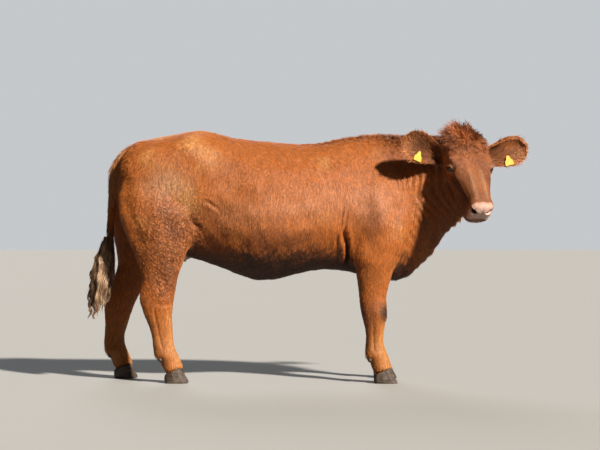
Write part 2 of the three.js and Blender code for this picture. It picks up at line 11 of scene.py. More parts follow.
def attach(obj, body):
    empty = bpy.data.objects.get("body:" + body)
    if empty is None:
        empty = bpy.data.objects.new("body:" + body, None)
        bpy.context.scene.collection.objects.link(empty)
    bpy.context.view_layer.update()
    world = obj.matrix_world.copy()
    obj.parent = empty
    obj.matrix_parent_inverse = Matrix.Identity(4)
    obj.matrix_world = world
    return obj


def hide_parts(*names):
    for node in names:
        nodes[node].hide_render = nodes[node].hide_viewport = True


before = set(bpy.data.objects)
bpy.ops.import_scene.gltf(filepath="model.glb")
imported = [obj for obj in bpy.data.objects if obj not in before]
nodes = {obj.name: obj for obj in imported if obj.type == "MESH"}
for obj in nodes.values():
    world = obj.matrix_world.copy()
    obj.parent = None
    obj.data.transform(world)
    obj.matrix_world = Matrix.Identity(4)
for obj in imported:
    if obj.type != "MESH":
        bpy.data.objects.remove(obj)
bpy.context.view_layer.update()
print("frame loaded")

midline = 0.080      # where the middle of the body is in Y
wholeTurn = 6.28


def ease(low, high, x):
    t = np.clip((x - low) / (high - low), 0, 1)
    return t * t * (3 - 2 * t)


def band(x, a, b, c, d):      # rises from a to b and falls from c to d
    return ease(a, b, x) * ease(d, c, x)


def hump(x, middle, width):
    return np.exp(-((x - middle) / width) ** 2)


def spot(p, x, z, reach, wide=1, tall=1):      # 1 at a place seen from the side, fading with distance
    return hump(np.hypot((p[:, 0] - x) * wide, (p[:, 2] - z) * tall), 0, reach)


def unit(v):
    return v / np.maximum(np.linalg.norm(v, axis=-1, keepdims=True), 1e-9)


def ripple(points, wavelength, seed, waves=8):     # a smooth random field, about -1 to 1
    chance = np.random.default_rng(seed)
    turns = unit(chance.normal(size=(waves, 3))) * (2 * math.pi / wavelength)
    turns *= chance.uniform(0.7, 1.4, (waves, 1))
    return np.cos(points @ turns.T + chance.uniform(0, wholeTurn, waves)).sum(1) * math.sqrt(1 / waves)


def meshOf(bm, name):
    mesh = bpy.data.meshes.new(name)
    bm.to_mesh(mesh)
    bm.free()
    return mesh


def objectOf(mesh, name):
    ob = bpy.data.objects.new(name, mesh)
    bpy.context.scene.collection.objects.link(ob)
    return ob


def verticesOf(mesh):
    co = np.empty(len(mesh.vertices) * 3, np.float32)
    mesh.vertices.foreach_get("co", co)
    return co.reshape(-1, 3).astype(float)


def normalsOf(mesh):
    out = np.empty(len(mesh.vertices) * 3, np.float32)
    mesh.vertex_normals.foreach_get("vector", out)
    return out.reshape(-1, 3).astype(float)


def moveTo(mesh, points):
    mesh.vertices.foreach_set("co", points.astype(np.float32).ravel())
    mesh.update()


def welded(name, grow=0.0):      # a CAD node's mesh, merged and a little larger
    bm = bmesh.new()
    bm.from_mesh(nodes[name].data)
    bmesh.ops.remove_doubles(bm, verts=bm.verts, dist=2e-5)
    for v in bm.verts:
        v.co += v.normal * grow
    return meshOf(bm, name + "_copy")


def applied(ob, kind, **settings):      # the object's mesh with one modifier applied
    mod = ob.modifiers.new(kind.lower(), kind)
    for key, value in settings.items():
        setattr(mod, key, value)
    done = bpy.data.meshes.new_from_object(ob.evaluated_get(bpy.context.evaluated_depsgraph_get()))
    ob.modifiers.clear()
    old, ob.data = ob.data, done
    bpy.data.meshes.remove(old)
    return ob


def gathered(meshes, name):
    bm = bmesh.new()
    for mesh in meshes:
        bm.from_mesh(mesh)
        bpy.data.meshes.remove(mesh)
    return objectOf(meshOf(bm, name), name)


def smoothed(mesh, points, rounds, strength):     # evens the surface; strength may differ by point
    edges = np.empty(len(mesh.edges) * 2, np.int32)
    mesh.edges.foreach_get("vertices", edges)
    a, b = edges[::2], edges[1::2]
    ends, others = np.concatenate([a, b]), np.concatenate([b, a])
    count = np.maximum(np.bincount(ends, minlength=len(points)), 1)[:, None]
    strength = np.asarray(strength, float).reshape(-1, 1)
    for _ in range(rounds):
        total = np.stack([np.bincount(ends, points[others, i], len(points)) for i in range(3)], 1)
        points = points + (total / count - points) * strength
    return points


def evened(mesh, values, rounds, strength=0.5):      # the same for one number at each point
    return smoothed(mesh, np.repeat(values[:, None], 3, 1), rounds, strength)[:, 0]


def onSurface(v, n):      # what is left of v along the surface
    return v - n * (v * n).sum(1, keepdims=True)


headPose = {"poll": (0.8066, -0.1100, 1.298), "turn": -75, "pitch": 48}
earPose = {"root": (0.092, 0.096, -0.102), "left": (15, 4), "right": (21, 12), "droop": 10}
earSize = {"length": 270, "tip": 262, "halfWidth": 80}
eyePose = {"place": (206, 102, -54), "radius": 21.0}      # millimetres, in the head's frame
nostrilPose = {"place": (476, 46, -82)}

headFrame = (Matrix.Translation(headPose["poll"])
             @ Matrix.Rotation(math.radians(headPose["turn"]), 4, "Z")
             @ Matrix.Rotation(math.radians(headPose["pitch"]), 4, "Y"))
headTurn = np.array(headFrame.to_3x3())
headPlace = np.array(headFrame.translation)


def toHead(points):
    return (points - headPlace) @ headTurn * 1000


def fromHead(places):
    return places / 1000 @ headTurn.T + headPlace


def earFrame(side):
    lift, forwards = earPose[side]
    flip = Matrix.Diagonal((1, 1 if side == "left" else -1, 1, 1))
    basis = Matrix(((0, 0, 1, 0), (1, 0, 0, 0), (0, 1, 0, 0), (0, 0, 0, 1)))
    return (headFrame @ flip @ Matrix.Translation(earPose["root"])
            @ Matrix.Rotation(math.radians(-headPose["pitch"]), 4, "Y") @ basis
            @ Matrix.Rotation(math.radians(lift), 4, "Z")
            @ Matrix.Rotation(math.radians(-forwards), 4, "Y")
            @ Matrix.Rotation(math.radians(earPose["droop"]), 4, "X"))


def earAxes(side):
    return np.array(earFrame(side).to_3x3())


def toEar(points, side):      # millimetres along the ear, across it and out of its cup
    return (points - np.array(earFrame(side).translation)) @ np.linalg.inv(earAxes(side)).T * 1000


flesh = ["trunk", "neck", "head", "right_foreleg", "left_foreleg", "right_hindleg", "left_hindleg",
         "right_ear", "left_ear", "tail", "udder"]
kinds = {name: i for i, name in enumerate(flesh)}


def nearestFlesh():
    bm, owner = bmesh.new(), []
    for name in flesh:
        mesh = welded(name)
        bm.from_mesh(mesh)
        owner += [kinds[name]] * len(mesh.polygons)
        bpy.data.meshes.remove(mesh)
    tree = BVHTree.FromBMesh(bm)
    bm.free()
    return lambda points: np.array([owner[tree.find_nearest(Vector(p))[2]] for p in points])


kindAt = nearestFlesh()


def isKind(kind, *names):
    return np.isin(kind, [kinds[n] for n in names])


legNames = ("right_foreleg", "left_foreleg", "right_hindleg", "left_hindleg")
foreNames, hindNames, earNames = legNames[:2], legNames[2:], ("right_ear", "left_ear")
sorts = ["leg" if n in legNames else "ear" if n in earNames else n for n in flesh]


def valuesOf(table, kind):      # a value for each sort of flesh, looked up for each point
    return np.array([table[s] for s in sorts])[kind]


skinMake = {"bodyVoxel": 0.0085, "voxel": 0.0042, "overlap": 0.0016, "eyeOverlap": 0.0008,
            "bodySmoothing": 64, "give": (-0.015, 0.025), "giveSmoothing": 40, "smoothing": 26,
            "depthSmoothing": 12, "triangles": 186000}
smoothings = {"left_ear": 0.12, "right_ear": 0.12, "tail": 0.35}      # others 0.5

coatDepth = {"trunk": 0.0035, "neck": 0.0045, "head": 0.0025, "leg": 0.003, "foot": 0.002, "ear": 0.0016,
             "tail": 0.005, "udder": 0.001, "crest": 0.012}


def makeBody():      # the trunk, neck and legs in one, with the facets smoothed out
    rough = [welded(n, skinMake["overlap"]) for n in ("trunk", "neck", "udder") + legNames]
    ob = applied(gathered(rough, "body_form"), "REMESH", mode="VOXEL", voxel_size=skinMake["bodyVoxel"])
    points = verticesOf(ob.data)
    solid = BVHTree.FromPolygons([tuple(p) for p in points], [tuple(f.vertices) for f in ob.data.polygons])
    z = points[:, 2]
    legs = ease(0.62, 0.44, z)
    udder = hump(np.linalg.norm((points - (-0.697, midline, 0.66)) * (1, 1, 1.2), axis=1), 0, 0.11)
    strength = 0.5 * np.clip(1 - 0.93 * legs - 0.85 * udder, 0.04, 1)
    once = smoothed(ob.data, points, skinMake["bodySmoothing"], strength)
    twice = smoothed(ob.data, once, skinMake["bodySmoothing"], strength)
    full = once * 2 - twice      # what smoothing shrinks, this gives back
    moveTo(ob.data, full)
    out = normalsOf(ob.data)
    short = np.array([(np.array(solid.find_nearest(p)[0]) - p) @ n for p, n in zip(full, out)])
    short = np.clip(evened(ob.data, short, skinMake["giveSmoothing"]), *skinMake["give"])
    moveTo(ob.data, full + out * short[:, None])      # back to the solids' outline, softly
    return ob


def makeSkin():
    body = makeBody()
    parts = [welded(n, skinMake["overlap"]) for n in ("head",) + earNames + ("tail",)]
    parts += [welded(n, skinMake["eyeOverlap"]) for n in ("left_eye", "right_eye")]
    mesh = body.data
    bpy.data.objects.remove(body)
    return applied(gathered([mesh] + parts, "skin"), "REMESH", mode="VOXEL", voxel_size=skinMake["voxel"])


skin = makeSkin()
print("skin joined:", len(skin.data.polygons), "faces")

points = verticesOf(skin.data)
kind = kindAt(points)
strength = np.array([smoothings.get(n, 0.5) for n in flesh])[kind]
points = smoothed(skin.data, points, skinMake["smoothing"], strength)
moveTo(skin.data, points)


def foot(p):
    return ease(0.34, 0.12, p[:, 2])


def crestMask(p):      # the line of longer hair along the top of the neck and the withers
    top = ease(1.17, 1.27, p[:, 2]) * ease(-0.1, 0.12, p[:, 0])
    return top * hump(p[:, 1], np.interp(p[:, 0], [0.3, 0.62, 0.8], [midline, 0.03, -0.06]), 0.075)


def skinDepth(p, kind):
    low = foot(p)
    depth = valuesOf(coatDepth, kind) * (1 - low) + coatDepth["foot"] * low
    return depth + coatDepth["crest"] * crestMask(p)


# no step where one depth meets another
depth = evened(skin.data, skinDepth(points, kind), skinMake["depthSmoothing"])
points = points - normalsOf(skin.data) * depth[:, None]
moveTo(skin.data, points)

elbowFold = [(0.186, 0.815), (0.199, 0.73), (0.211, 0.655), (0.214, 0.60)]
creases = [      # on the right side: points in X and Z, half width, depth
    ([(0.186, 0.965), (0.180, 0.90), (0.168, 0.83), (0.154, 0.74), (0.148, 0.68)], 0.0075, 0.0055),
    ([(0.205, 0.935), (0.200, 0.86), (0.190, 0.79), (0.184, 0.70)], 0.0065, 0.0050),
    ([(0.160, 0.90), (0.149, 0.82), (0.138, 0.75)], 0.008, 0.0025),
    (elbowFold, 0.012, 0.024),
    ([(-0.812, 0.425), (-0.750, 0.408), (-0.695, 0.420)], 0.013, 0.0030),
    ([(-0.790, 0.560), (-0.772, 0.480), (-0.776, 0.400)], 0.010, 0.0045),
    ([(-0.700, 0.440), (-0.690, 0.375), (-0.700, 0.320)], 0.009, 0.003),
    ([(-0.535, 0.946), (-0.500, 0.930), (-0.455, 0.905)], 0.0075, 0.0055),
    ([(-0.615, 0.87), (-0.590, 0.828), (-0.550, 0.800)], 0.016, 0.008),
    ([(-0.780, 0.60), (-0.752, 0.52), (-0.745, 0.44)], 0.018, 0.005),
    ([(-0.93, 0.98), (-0.90, 0.85), (-0.865, 0.72), (-0.835, 0.60)], 0.028, 0.007),
    ([(0.395, 1.02), (0.432, 0.93), (0.450, 0.84), (0.437, 0.74)], 0.026, 0.012),
    ([(0.455, 1.17), (0.462, 1.10), (0.460, 1.03)], 0.006, 0.003),
    ([(0.482, 1.18), (0.490, 1.10), (0.488, 1.02)], 0.006, 0.0035),
    ([(0.510, 1.18), (0.518, 1.10), (0.515, 1.00)], 0.0065, 0.004),
    ([(0.540, 1.17), (0.548, 1.09), (0.545, 0.98)], 0.007, 0.004),
    ([(0.572, 1.16), (0.580, 1.07), (0.577, 0.95)], 0.007, 0.004),
]
swells = [      # X, Z, reach, height: on both sides
    (-0.56, 0.905, 0.050, 0.006), (-0.49, 0.945, 0.035, 0.004), (0.33, 0.86, 0.11, 0.006),
    (0.375, 0.99, 0.07, 0.006), (0.13, 0.83, 0.05, 0.004), (-0.70, 0.985, 0.10, 0.006),
    (-0.655, 0.86, 0.07, 0.004), (-0.875, 1.02, 0.055, 0.006), (-0.46, 1.20, 0.05, 0.004),
    (0.295, 0.645, 0.045, 0.008),
]


def nearPath(xz, path):      # how far from the path, and how far along it
    best, along = np.full(len(xz), 9.0), np.zeros(len(xz))
    for i, (a, b) in enumerate(zip(path, path[1:])):
        a, b = np.array(a), np.array(b)
        t = np.clip(((xz - a) @ (b - a)) / ((b - a) @ (b - a)), 0, 1)
        far = np.linalg.norm(xz - a - t[:, None] * (b - a), axis=1)
        along = np.where(far < best, (i + t) / (len(path) - 1), along)
        best = np.minimum(best, far)
    return best, along


def bodyForms(p, n, kind):
    out = np.zeros(len(p))
    side = ease(0.25, 0.6, np.abs(n[:, 1]))
    onBody = ~isKind(kind, "head", "tail", "udder", *earNames)
    right, xz = p[:, 1] < midline, p[:, [0, 2]]
    bent = xz + 0.004 * np.stack([ripple(p, 0.09, 7), ripple(p, 0.09, 8)], 1)
    for path, width, depth in creases:
        d, s = nearPath(bent, path)
        deep = np.where(right, 1.0, 0.55) * depth * np.sin(math.pi * np.clip(s, 0.02, 0.98)) ** 0.7
        out += deep * side * (0.30 * hump(d, width * 2.2, width * 1.3) - hump(d, 0, width))
    for x, z, reach, height in swells:
        out += height * side * spot(p, x, z, reach)
    barrel = band(p[:, 0], -0.42, -0.3, 0.05, 0.16) * band(p[:, 2], 0.62, 0.75, 1.0, 1.12) * side
    out += 0.0004 * barrel * np.cos((p[:, 0] + 0.18 * (p[:, 2] - 0.9)) * 2 * math.pi / 0.062)
    spine = hump(p[:, 1], midline, 0.022) * ease(0.75, 0.95, n[:, 2]) * ease(-0.86, -0.7, p[:, 0])
    out += 0.0022 * spine * ease(0.2, 0.05, p[:, 0])
    neck = isKind(kind, "neck") * ease(0.48, 0.30, np.abs(p[:, 2] - 1.0))
    bend = p[:, 0] * 0.86 - (p[:, 1] - midline) * 0.5 + 0.03 * ripple(p, 0.35, 4) - 0.22 * (1.2 - p[:, 2])
    fold = np.cos(bend * 2 * math.pi / 0.040)
    inner = ease(0.15, -0.05, p[:, 1]) * ease(0.53, 0.62, p[:, 0]) * ease(1.27, 1.16, p[:, 2])
    out += 0.0036 * neck * inner * (fold - 0.3)
    throat = isKind(kind, "neck", "trunk") * ease(0.42, 0.55, p[:, 0]) * ease(0.95, 0.75, p[:, 2])
    slope = p[:, 0] * 0.75 + p[:, 2] * 0.66 + 0.02 * ripple(p, 0.2, 5)
    out += 0.0012 * throat * np.cos(slope * 2 * math.pi / 0.055)
    out += 0.0012 * ripple(p, 0.09, 6) * onBody * ease(0.45, 0.6, p[:, 2])
    return out * onBody


def legForms(p, n, kind):      # the groove before the tendons, and the knob of each joint
    out = np.zeros(len(p))
    z, side = p[:, 2], ease(0.4, 0.8, np.abs(n[:, 1]))
    for name in legNames:
        mine = isKind(kind, name) * 1.0
        fore = name in foreNames
        cannon = band(z, 0.15, 0.19, *((0.29, 0.33) if fore else (0.37, 0.42)))
        middle = legMiddles[name](z)
        out -= mine * cannon * side * 0.004 * hump(p[:, 0], middle - 0.010, 0.007)
        out += mine * side * 0.004 * hump(z, 0.148, 0.022) * hump(p[:, 0], middle, 0.03)
        knee = 0.365 if fore else 0.47
        out += mine * side * 0.003 * hump(z, knee, 0.03) * hump(p[:, 0], middle + 0.01, 0.02)
        out -= mine * 0.0022 * ease(0.3, 0.8, n[:, 0]) * hump(z, knee - 0.05, 0.010) * fore
    return out


def middleLine(points, kind, name):      # the middle of a leg in X at each height
    mine = points[isKind(kind, name)]
    heights = np.linspace(0.06, 0.6, 28)
    slices = [mine[np.abs(mine[:, 2] - height) < 0.02, 0] for height in heights]
    middles = [np.median(part if len(part) else mine[:, 0]) for part in slices]
    return lambda z: np.interp(z, heights, middles)


legMiddles = {name: middleLine(points, kind, name) for name in legNames}
n = normalsOf(skin.data)
moveTo(skin.data, points + n * (bodyForms(points, n, kind) + legForms(points, n, kind))[:, None])
print("body forms made")

faceMake = {"lid": 3.0, "opening": 0.94, "upper": 0.38, "lower": 0.46, "slant": 0.45,
            "nostril": (22, 11), "nostrilDepth": 19, "lipDepth": 5.5, "smoothing": 6,
            "refined": {"eye": 44, "nostril": 40}, "reach": ((30, -135, -260), (520, 135, 60))}


def eyeAxes(side):      # outwards, towards the nose along the lids, and up
    out = unit(np.array([0.55, 0.78 * side, 0.30]))
    along = np.array([1.0, 0.0, faceMake["slant"]])
    along = unit(along - out * (along @ out))
    up = np.cross(out, along) * (1 if side < 0 else -1)
    return out, along, up * np.sign(up[2])


def eyePlaceOf(side):
    return np.array(eyePose["place"], float) * (1, side, 1)


def eyeSpot(h, side):      # in radii from the middle of the eye: outwards, along the lids, up, and distance
    out, along, up = eyeAxes(side)
    q = (h - eyePlaceOf(side)) / eyePose["radius"]
    return q @ out, q @ along, q @ up, np.linalg.norm(q, axis=1)


def lidEdges(u):
    arch = np.clip(1 - (u / faceMake["opening"]) ** 2, 0, 1)
    return faceMake["upper"] * arch ** 0.8, -faceMake["lower"] * arch ** 0.9


def shapeEye(h, side):
    out, along, up = eyeAxes(side)
    q = h - eyePlaceOf(side)
    r = np.linalg.norm(q, axis=1)
    near = (r < 60) & (q @ out > -8)
    q, r = q[near], np.maximum(r[near], 1)
    size = eyePose["radius"]
    a, u, v = q @ out, q @ along / size, q @ up / size
    flat = np.hypot(u, v)
    upper, lower = lidEdges(u)
    inside = np.minimum(upper - v, v - lower)
    opened = ease(-0.01, 0.07, inside) * ease(0.0, 0.2, faceMake["opening"] - np.abs(u))
    lid = size + faceMake["lid"] + 2.4 * hump(v - upper, 0.16, 0.13) + 1.2 * hump(v - lower, -0.12, 0.1)
    lid -= 3.0 * hump(v - upper, 0.58, 0.12) * ease(1.3, 0.9, np.abs(u)) + 1.8 * hump(v - lower, -0.42, 0.1)
    target = lid * (1 - opened) + (size - 5) * opened
    weight = ease(1.75, 1.02, flat) * ease(-2, 6, a)
    newR = r * (1 - weight) + target * weight
    h = h.copy()
    h[near] = eyePlaceOf(side) + q / r[:, None] * newR[:, None]
    return h


def nostrilAxes(side):
    out = unit(np.array([0.80, 0.52 * side, 0.30]))
    along = np.array([-0.25, 0.70 * side, 0.66])
    along = unit(along - out * (along @ out))
    return out, along, np.cross(out, along) * side


def nostrilPlaceOf(side):
    return np.array(nostrilPose["place"], float) * (1, side, 1)


def nostrilReach(h, side):      # 0 in the middle of the opening, 1 at its rim
    out, along, over = nostrilAxes(side)
    q = h - nostrilPlaceOf(side)
    e, f = q @ along, q @ over
    half, wide = faceMake["nostril"]
    f = f - 0.010 * e * e
    reach = np.sqrt((e / half) ** 2 + (f / (wide * np.clip(1 - 0.4 * e / half, 0.45, 1.5))) ** 2)
    return np.where(q @ out > -26, reach, 9), out


def mouthLevel(h):
    return -148 + 5 * ((h[:, 0] - 430) / 60) ** 2 - 0.0038 * h[:, 1] ** 2


def lipMask(h):
    return ease(366, 384, h[:, 0]) * ease(120, 90, np.abs(h[:, 2] + 150))


def faceForms(h):      # moves along the normal, in millimetres
    out = np.zeros(len(h))
    x, y, z = h[:, 0], np.abs(h[:, 1]), h[:, 2]
    front = lipMask(h)
    gapToLip = z - mouthLevel(h)
    out -= faceMake["lipDepth"] * front * hump(gapToLip, 0, 2.4)
    out += 1.8 * front * (hump(gapToLip, -8, 5) + hump(gapToLip, 8, 5))
    muzzle = ease(440, 462, x) * ease(-150, -120, z)
    out -= 1.8 * muzzle * hump(h[:, 1], 0, 3)
    out += 1.5 * hump(x, 457, 5) * ease(-60, -30, z)      # edge of the bare nose
    out -= 3.0 * spot(h, 250, -66, 26, tall=1.5)      # hollow below the eye
    out += 2.5 * hump(z, -88 + (x - 280) * 0.05, 9) * band(x, 225, 260, 310, 350)
    out -= 2.0 * hump(z + 0.5 * (x - 380), -110, 7) * band(x, 345, 375, 400, 430)
    bridge = band(x, 225, 270, 405, 445)
    out += 3.6 * bridge * hump(np.hypot(y - 33, (z + 22) * 0.8), 0, 13)      # edges of the flat bridge
    out -= 5.4 * bridge * hump(z, -68, 20) * (y > 30)      # and the hollow beside it
    for a, b, deep in ((-52, -76, 3.2), (-84, -66, 2.6)):      # folds from the eye towards the nose
        fold = z - (a + (b - a) * (x - 235) / 190)
        out -= deep * (hump(fold, 0, 4.5) - 0.8 * hump(fold, 9, 5)) * band(x, 238, 262, 400, 432) * (y > 26)
    out += 3.0 * hump(z + 0.10 * (x - 120), -80, 15) * band(x, 50, 85, 150, 185)      # cheek bone
    jawFront = band(z, -225, -200, -135, -110)
    out -= 3.0 * hump(x + 0.35 * (z + 170), 238, 11) * jawFront
    out -= 3.2 * hump(np.hypot(x - 222, y * 0.9), 0, 34) * (z > -30)      # dip between the eyes
    out += 2.0 * hump(np.hypot(y - 26, (x - 130) * 0.5), 0, 16)      # brow bosses
    out -= 1.6 * hump(h[:, 1], 0, 9) * band(x, 90, 140, 300, 420) * ease(-30, -10, z)
    for a, b in ((0.35, 262), (0.42, 246), (0.5, 232)):      # fine folds under the eye
        out -= 0.9 * hump(x + a * (z + 80) * 2, b, 2.6) * band(z, -112, -95, -80, -72) * (y > 60)
    return out + 2.2 * band(z, -235, -190, -150, -90) * hump(x, 120, 45)      # the jaw muscle


def refine(ob, pick):      # halves the edges of the faces that pick chooses, by their middles
    mesh = ob.data
    centres = np.empty(len(mesh.polygons) * 3, np.float32)
    mesh.polygons.foreach_get("center", centres)
    chosen = np.flatnonzero(pick(centres.reshape(-1, 3).astype(float)))
    bm = bmesh.new()
    bm.from_mesh(mesh)
    bm.faces.ensure_lookup_table()
    edges = list({e for i in chosen for e in bm.faces[i].edges})
    bmesh.ops.subdivide_edges(bm, edges=edges, cuts=1, use_grid_fill=True)
    bm.to_mesh(mesh)
    bm.free()


def nearFeatures(p):
    h = toHead(p)
    found = np.zeros(len(p), bool)
    for side in (-1, 1):
        found |= np.linalg.norm(h - eyePlaceOf(side), axis=1) < faceMake["refined"]["eye"]
        found |= np.linalg.norm(h - nostrilPlaceOf(side), axis=1) < faceMake["refined"]["nostril"]
    nearMouth = (np.abs(h[:, 2] - mouthLevel(h)) < 14) & (np.abs(h[:, 1]) < 90)
    return found | (nearMouth & (h[:, 0] > 362) & (h[:, 0] < 520))


refine(skin, nearFeatures)
points = verticesOf(skin.data)
points = smoothed(skin.data, points, faceMake["smoothing"], np.where(nearFeatures(points), 0.5, 0.0))
h = toHead(points)
moveTo(skin.data, points)
n = normalsOf(skin.data)
low, high = faceMake["reach"]
headOnly = ((h > low) & (h < high)).all(1)
h = np.where(headOnly[:, None], h + (n @ headTurn) * faceForms(h)[:, None], h)
for side in (-1, 1):
    h = shapeEye(h, side)
    reach, out = nostrilReach(h, side)
    push = 2.2 * hump(reach, 1.35, 0.28) - faceMake["nostrilDepth"] * ease(1.15, 0.45, reach)
    h = h + out * (push * (reach < 3))[:, None]
points = np.where(headOnly[:, None], fromHead(h), points)
moveTo(skin.data, points)
print("face shaped")

skin = applied(skin, "TRIANGULATE")
ratio = skinMake["triangles"] / len(skin.data.polygons)
skin = applied(skin, "DECIMATE", ratio=min(1.0, ratio), use_collapse_triangulate=True)
skin.data.polygons.foreach_set("use_smooth", [True] * len(skin.data.polygons))
print("skin has", len(skin.data.polygons), "triangles")

unwrapMake = {"angle": 66, "margin": 0.0008}


def unwrap(ob):
    bpy.context.view_layer.objects.active = ob
    ob.select_set(True)
    bpy.ops.object.mode_set(mode="EDIT")
    bpy.ops.mesh.select_all(action="SELECT")
    ob.data.uv_layers.new(name="OFBake")
    bpy.ops.uv.smart_project(angle_limit=math.radians(unwrapMake["angle"]),
                             island_margin=unwrapMake["margin"])
    bpy.ops.object.mode_set(mode="OBJECT")
    ob.select_set(False)


unwrap(skin)
print("skin unwrapped")

skinPoints = verticesOf(skin.data)
skinNormals = normalsOf(skin.data)
skinKind = kindAt(skinPoints)


kneePlaces = {"right_foreleg": (0.402, 0.370), "left_foreleg": (0.416, 0.370)}


def tonesAt(p, n, kind):      # gold, rose, brown, dark, bare and pale: each 0 to 1
    x, _, z = p.T
    body, legs = isKind(kind, "trunk", "neck") * 1.0, isKind(kind, *legNames) * 1.0
    fleshy, tail, ears = (body + legs > 0) * 1.0, isKind(kind, "tail") * 1.0, isKind(kind, *earNames) * 1.0
    top = ease(1.0, 1.2, z) * ease(-0.95, -0.75, x) * ease(-0.35, -0.5, x)
    # the spot on the rump is a painted highlight
    gold = body * (0.34 * top + 0.12 * spot(p, -0.73, 1.02, 0.13, 0.8) + 0.22 * ripple(p, 0.22, 11)
                   + 0.30 * ease(0.02, -0.1, n[:, 2]) * ease(0.80, 0.95, z))
    gold += legs * (0.35 * ease(0.5, 0.2, z) + 0.2 * ease(0.2, 0.8, n[:, 0]))
    # painted light: the upper part of the tail is lighter
    gold += 0.45 * tail * ease(0.90, 1.05, z)
    # painted sheen: the pale rosy band along the flank and the spot on the shoulder
    sheenBelt = hump(z, 0.91 + 0.04 * np.sin(x * 3), 0.09) * band(x, -0.62, -0.35, 0.32, 0.52)
    rose = body * (0.75 * sheenBelt + 0.45 * spot(p, 0.37, 0.93, 0.10) + 0.5 * spot(p, -0.42, 1.03, 0.07))
    rose += 0.45 * fleshy * spot(p, -0.69, 0.72, 0.12, 0.9, 0.55)
    brown = 0.55 * body * hump(z, 0.77, 0.055) * band(x, -0.40, -0.28, 0.0, 0.12)
    brown += 0.45 * body * hump(z, 0.66, 0.06) * band(x, -0.42, -0.25, 0.02, 0.2)
    # painted shade: the front of the neck and the brisket are darker
    brown += 0.40 * body * ease(0.48, 0.66, x) * ease(1.15, 1.0, z)
    brown += 0.48 * body * ease(0.30, 0.45, x) * ease(1.05, 1.15, z)
    # the two spots on the thigh are painted shade among the curls
    for place, strength in (((0.345, 0.815, 0.075, 1.2), 0.62), ((-0.66, 0.79, 0.12, 0.95, 0.8), 0.15),
                            ((-0.655, 0.815, 0.07), 0.25), ((-0.73, 0.54, 0.07, 1, 0.6), 0.50)):
        brown += strength * fleshy * spot(p, *place)
    brown += 0.12 * ripple(p, 0.13, 12)
    # painted shade: darker where the surface faces down, under the belly
    low = n[:, 2] + 0.16 * ripple(p, 0.035, 16)
    dark = 0.92 * body * ease(-0.16, -0.62, low) * ease(0.85, 0.6, z) * ease(0.62, 0.50, x)
    dark += 0.85 * tail * ease(0.92, 0.74, z)
    # painted shade in the crease behind the elbow
    far, along = nearPath(np.stack([x, z], 1), elbowFold)
    dark += 0.95 * body * hump(far, 0, 0.010) * ease(0.1, 0.4, along)
    for name, side in zip(foreNames, (-1, 1)):
        mine = isKind(kind, name)
        knee = spot(p, *kneePlaces[name], 0.040, tall=0.7)
        dark += 0.95 * mine * knee * ease(-0.1, 0.5, n[:, 0] + n[:, 1] * side)
        brown += 0.60 * mine * hump(z, 0.36, 0.10) * ease(0.5, -0.2, n[:, 0])
    h = toHead(p)
    hx, hy, hz = h[:, 0], np.abs(h[:, 1]), h[:, 2]
    head = isKind(kind, "head") * 1.0
    brown += head * (0.25 * hump(hx, 330, 60) * ease(-40, -90, hz) + 0.52)
    rose = rose + 0.50 * head
    # painted highlight on the sides of the rump
    pale = 0.60 * body * ease(0.85, 0.45, n[:, 2]) * spot(p, -0.72, 1.035, 0.08, 0.7)
    # painted light and shade on the face: a highlight along the edges of the bridge, a lighter golden top,
    # and shade on the sides below
    onBridge = head * band(hx, 225, 270, 425, 452)
    pale += onBridge * 0.30 * hump(hy, 30, 9) * ease(-60, -30, hz)
    brown += onBridge * 0.45 * ease(-52, -74, hz)
    gold += head * (0.4 * hump(np.hypot(hx - 330, hy - 16), 0, 60) * ease(-60, -20, hz))
    for side in (-1, 1):
        a, u, v, far = eyeSpot(h, side)
        front = head * ease(0, 0.4, a) * ease(2.4, 2.0, far)
        upper, lower = lidEdges(u)
        margin = np.maximum(v - upper, lower - v) * ease(1.25, 1.0, np.abs(u))
        pale += front * (0.75 * hump(v, 1.02, 0.26) + 0.5 * hump(v, -1.0, 0.28)) * ease(1.5, 0.9, np.abs(u))
        gold += front * 0.5 * hump(v, -1.05, 0.3)
        dark += front * 0.95 * ease(0.34, 0.16, margin) * ease(1.30, 1.05, np.abs(u))
    # painted light: the upper part of the tail is paler
    pale += 0.10 * ears + 0.20 * tail * ease(0.86, 0.98, z)
    brown += 0.20 * ears
    for name in earNames:      # painted shade: darker in the cup, most towards the root
        side = name.split("_")[0]
        q, facing = toEar(p, side), n @ np.linalg.inv(earAxes(side)).T
        cup = isKind(kind, name) * ease(0.0, 0.35, facing[:, 2]) * ease(250, 150, q[:, 0])
        cup = cup * ease(70, 30, np.abs(q[:, 1]))
        brown += 0.55 * cup
        dark += 0.30 * cup * ease(150, 60, q[:, 0])
    bare = head * noseMask(h) + isKind(kind, "udder") * 0.9
    pale += head * 0.30 * ease(425, 455, hx) * ease(-60, -100, hz)      # the lips and the chin
    # painted shade along the crease of the mouth
    dark = dark + head * 0.9 * lipMask(h) * hump(hz - mouthLevel(h), 0, 2.6)
    # painted shade in the nostrils
    for side in (-1, 1):
        dark = np.maximum(dark, head * ease(1.12, 0.75, nostrilReach(h, side)[0]))
    return [np.clip(v, 0, 1) for v in (gold, rose, brown, dark, bare, pale)]


def noseMask(h):      # the bare, damp skin of the nose and the upper lip
    side = np.abs(h[:, 1])
    edge = 455 + 3 * np.sin(side / 11) + 0.05 * (side - 20)
    level = mouthLevel(h)
    front = ease(edge - 4, edge + 26, h[:, 0] - 0.22 * (h[:, 2] + 60) * (h[:, 2] < -60))
    wing = 71 + 6 * hump(h[:, 2], -92, 20) + 2.5 * ripple(h / 1000, 0.016, 15)
    return front * ease(level - 4, level + 22, h[:, 2]) * ease(0, 34, wing - side)


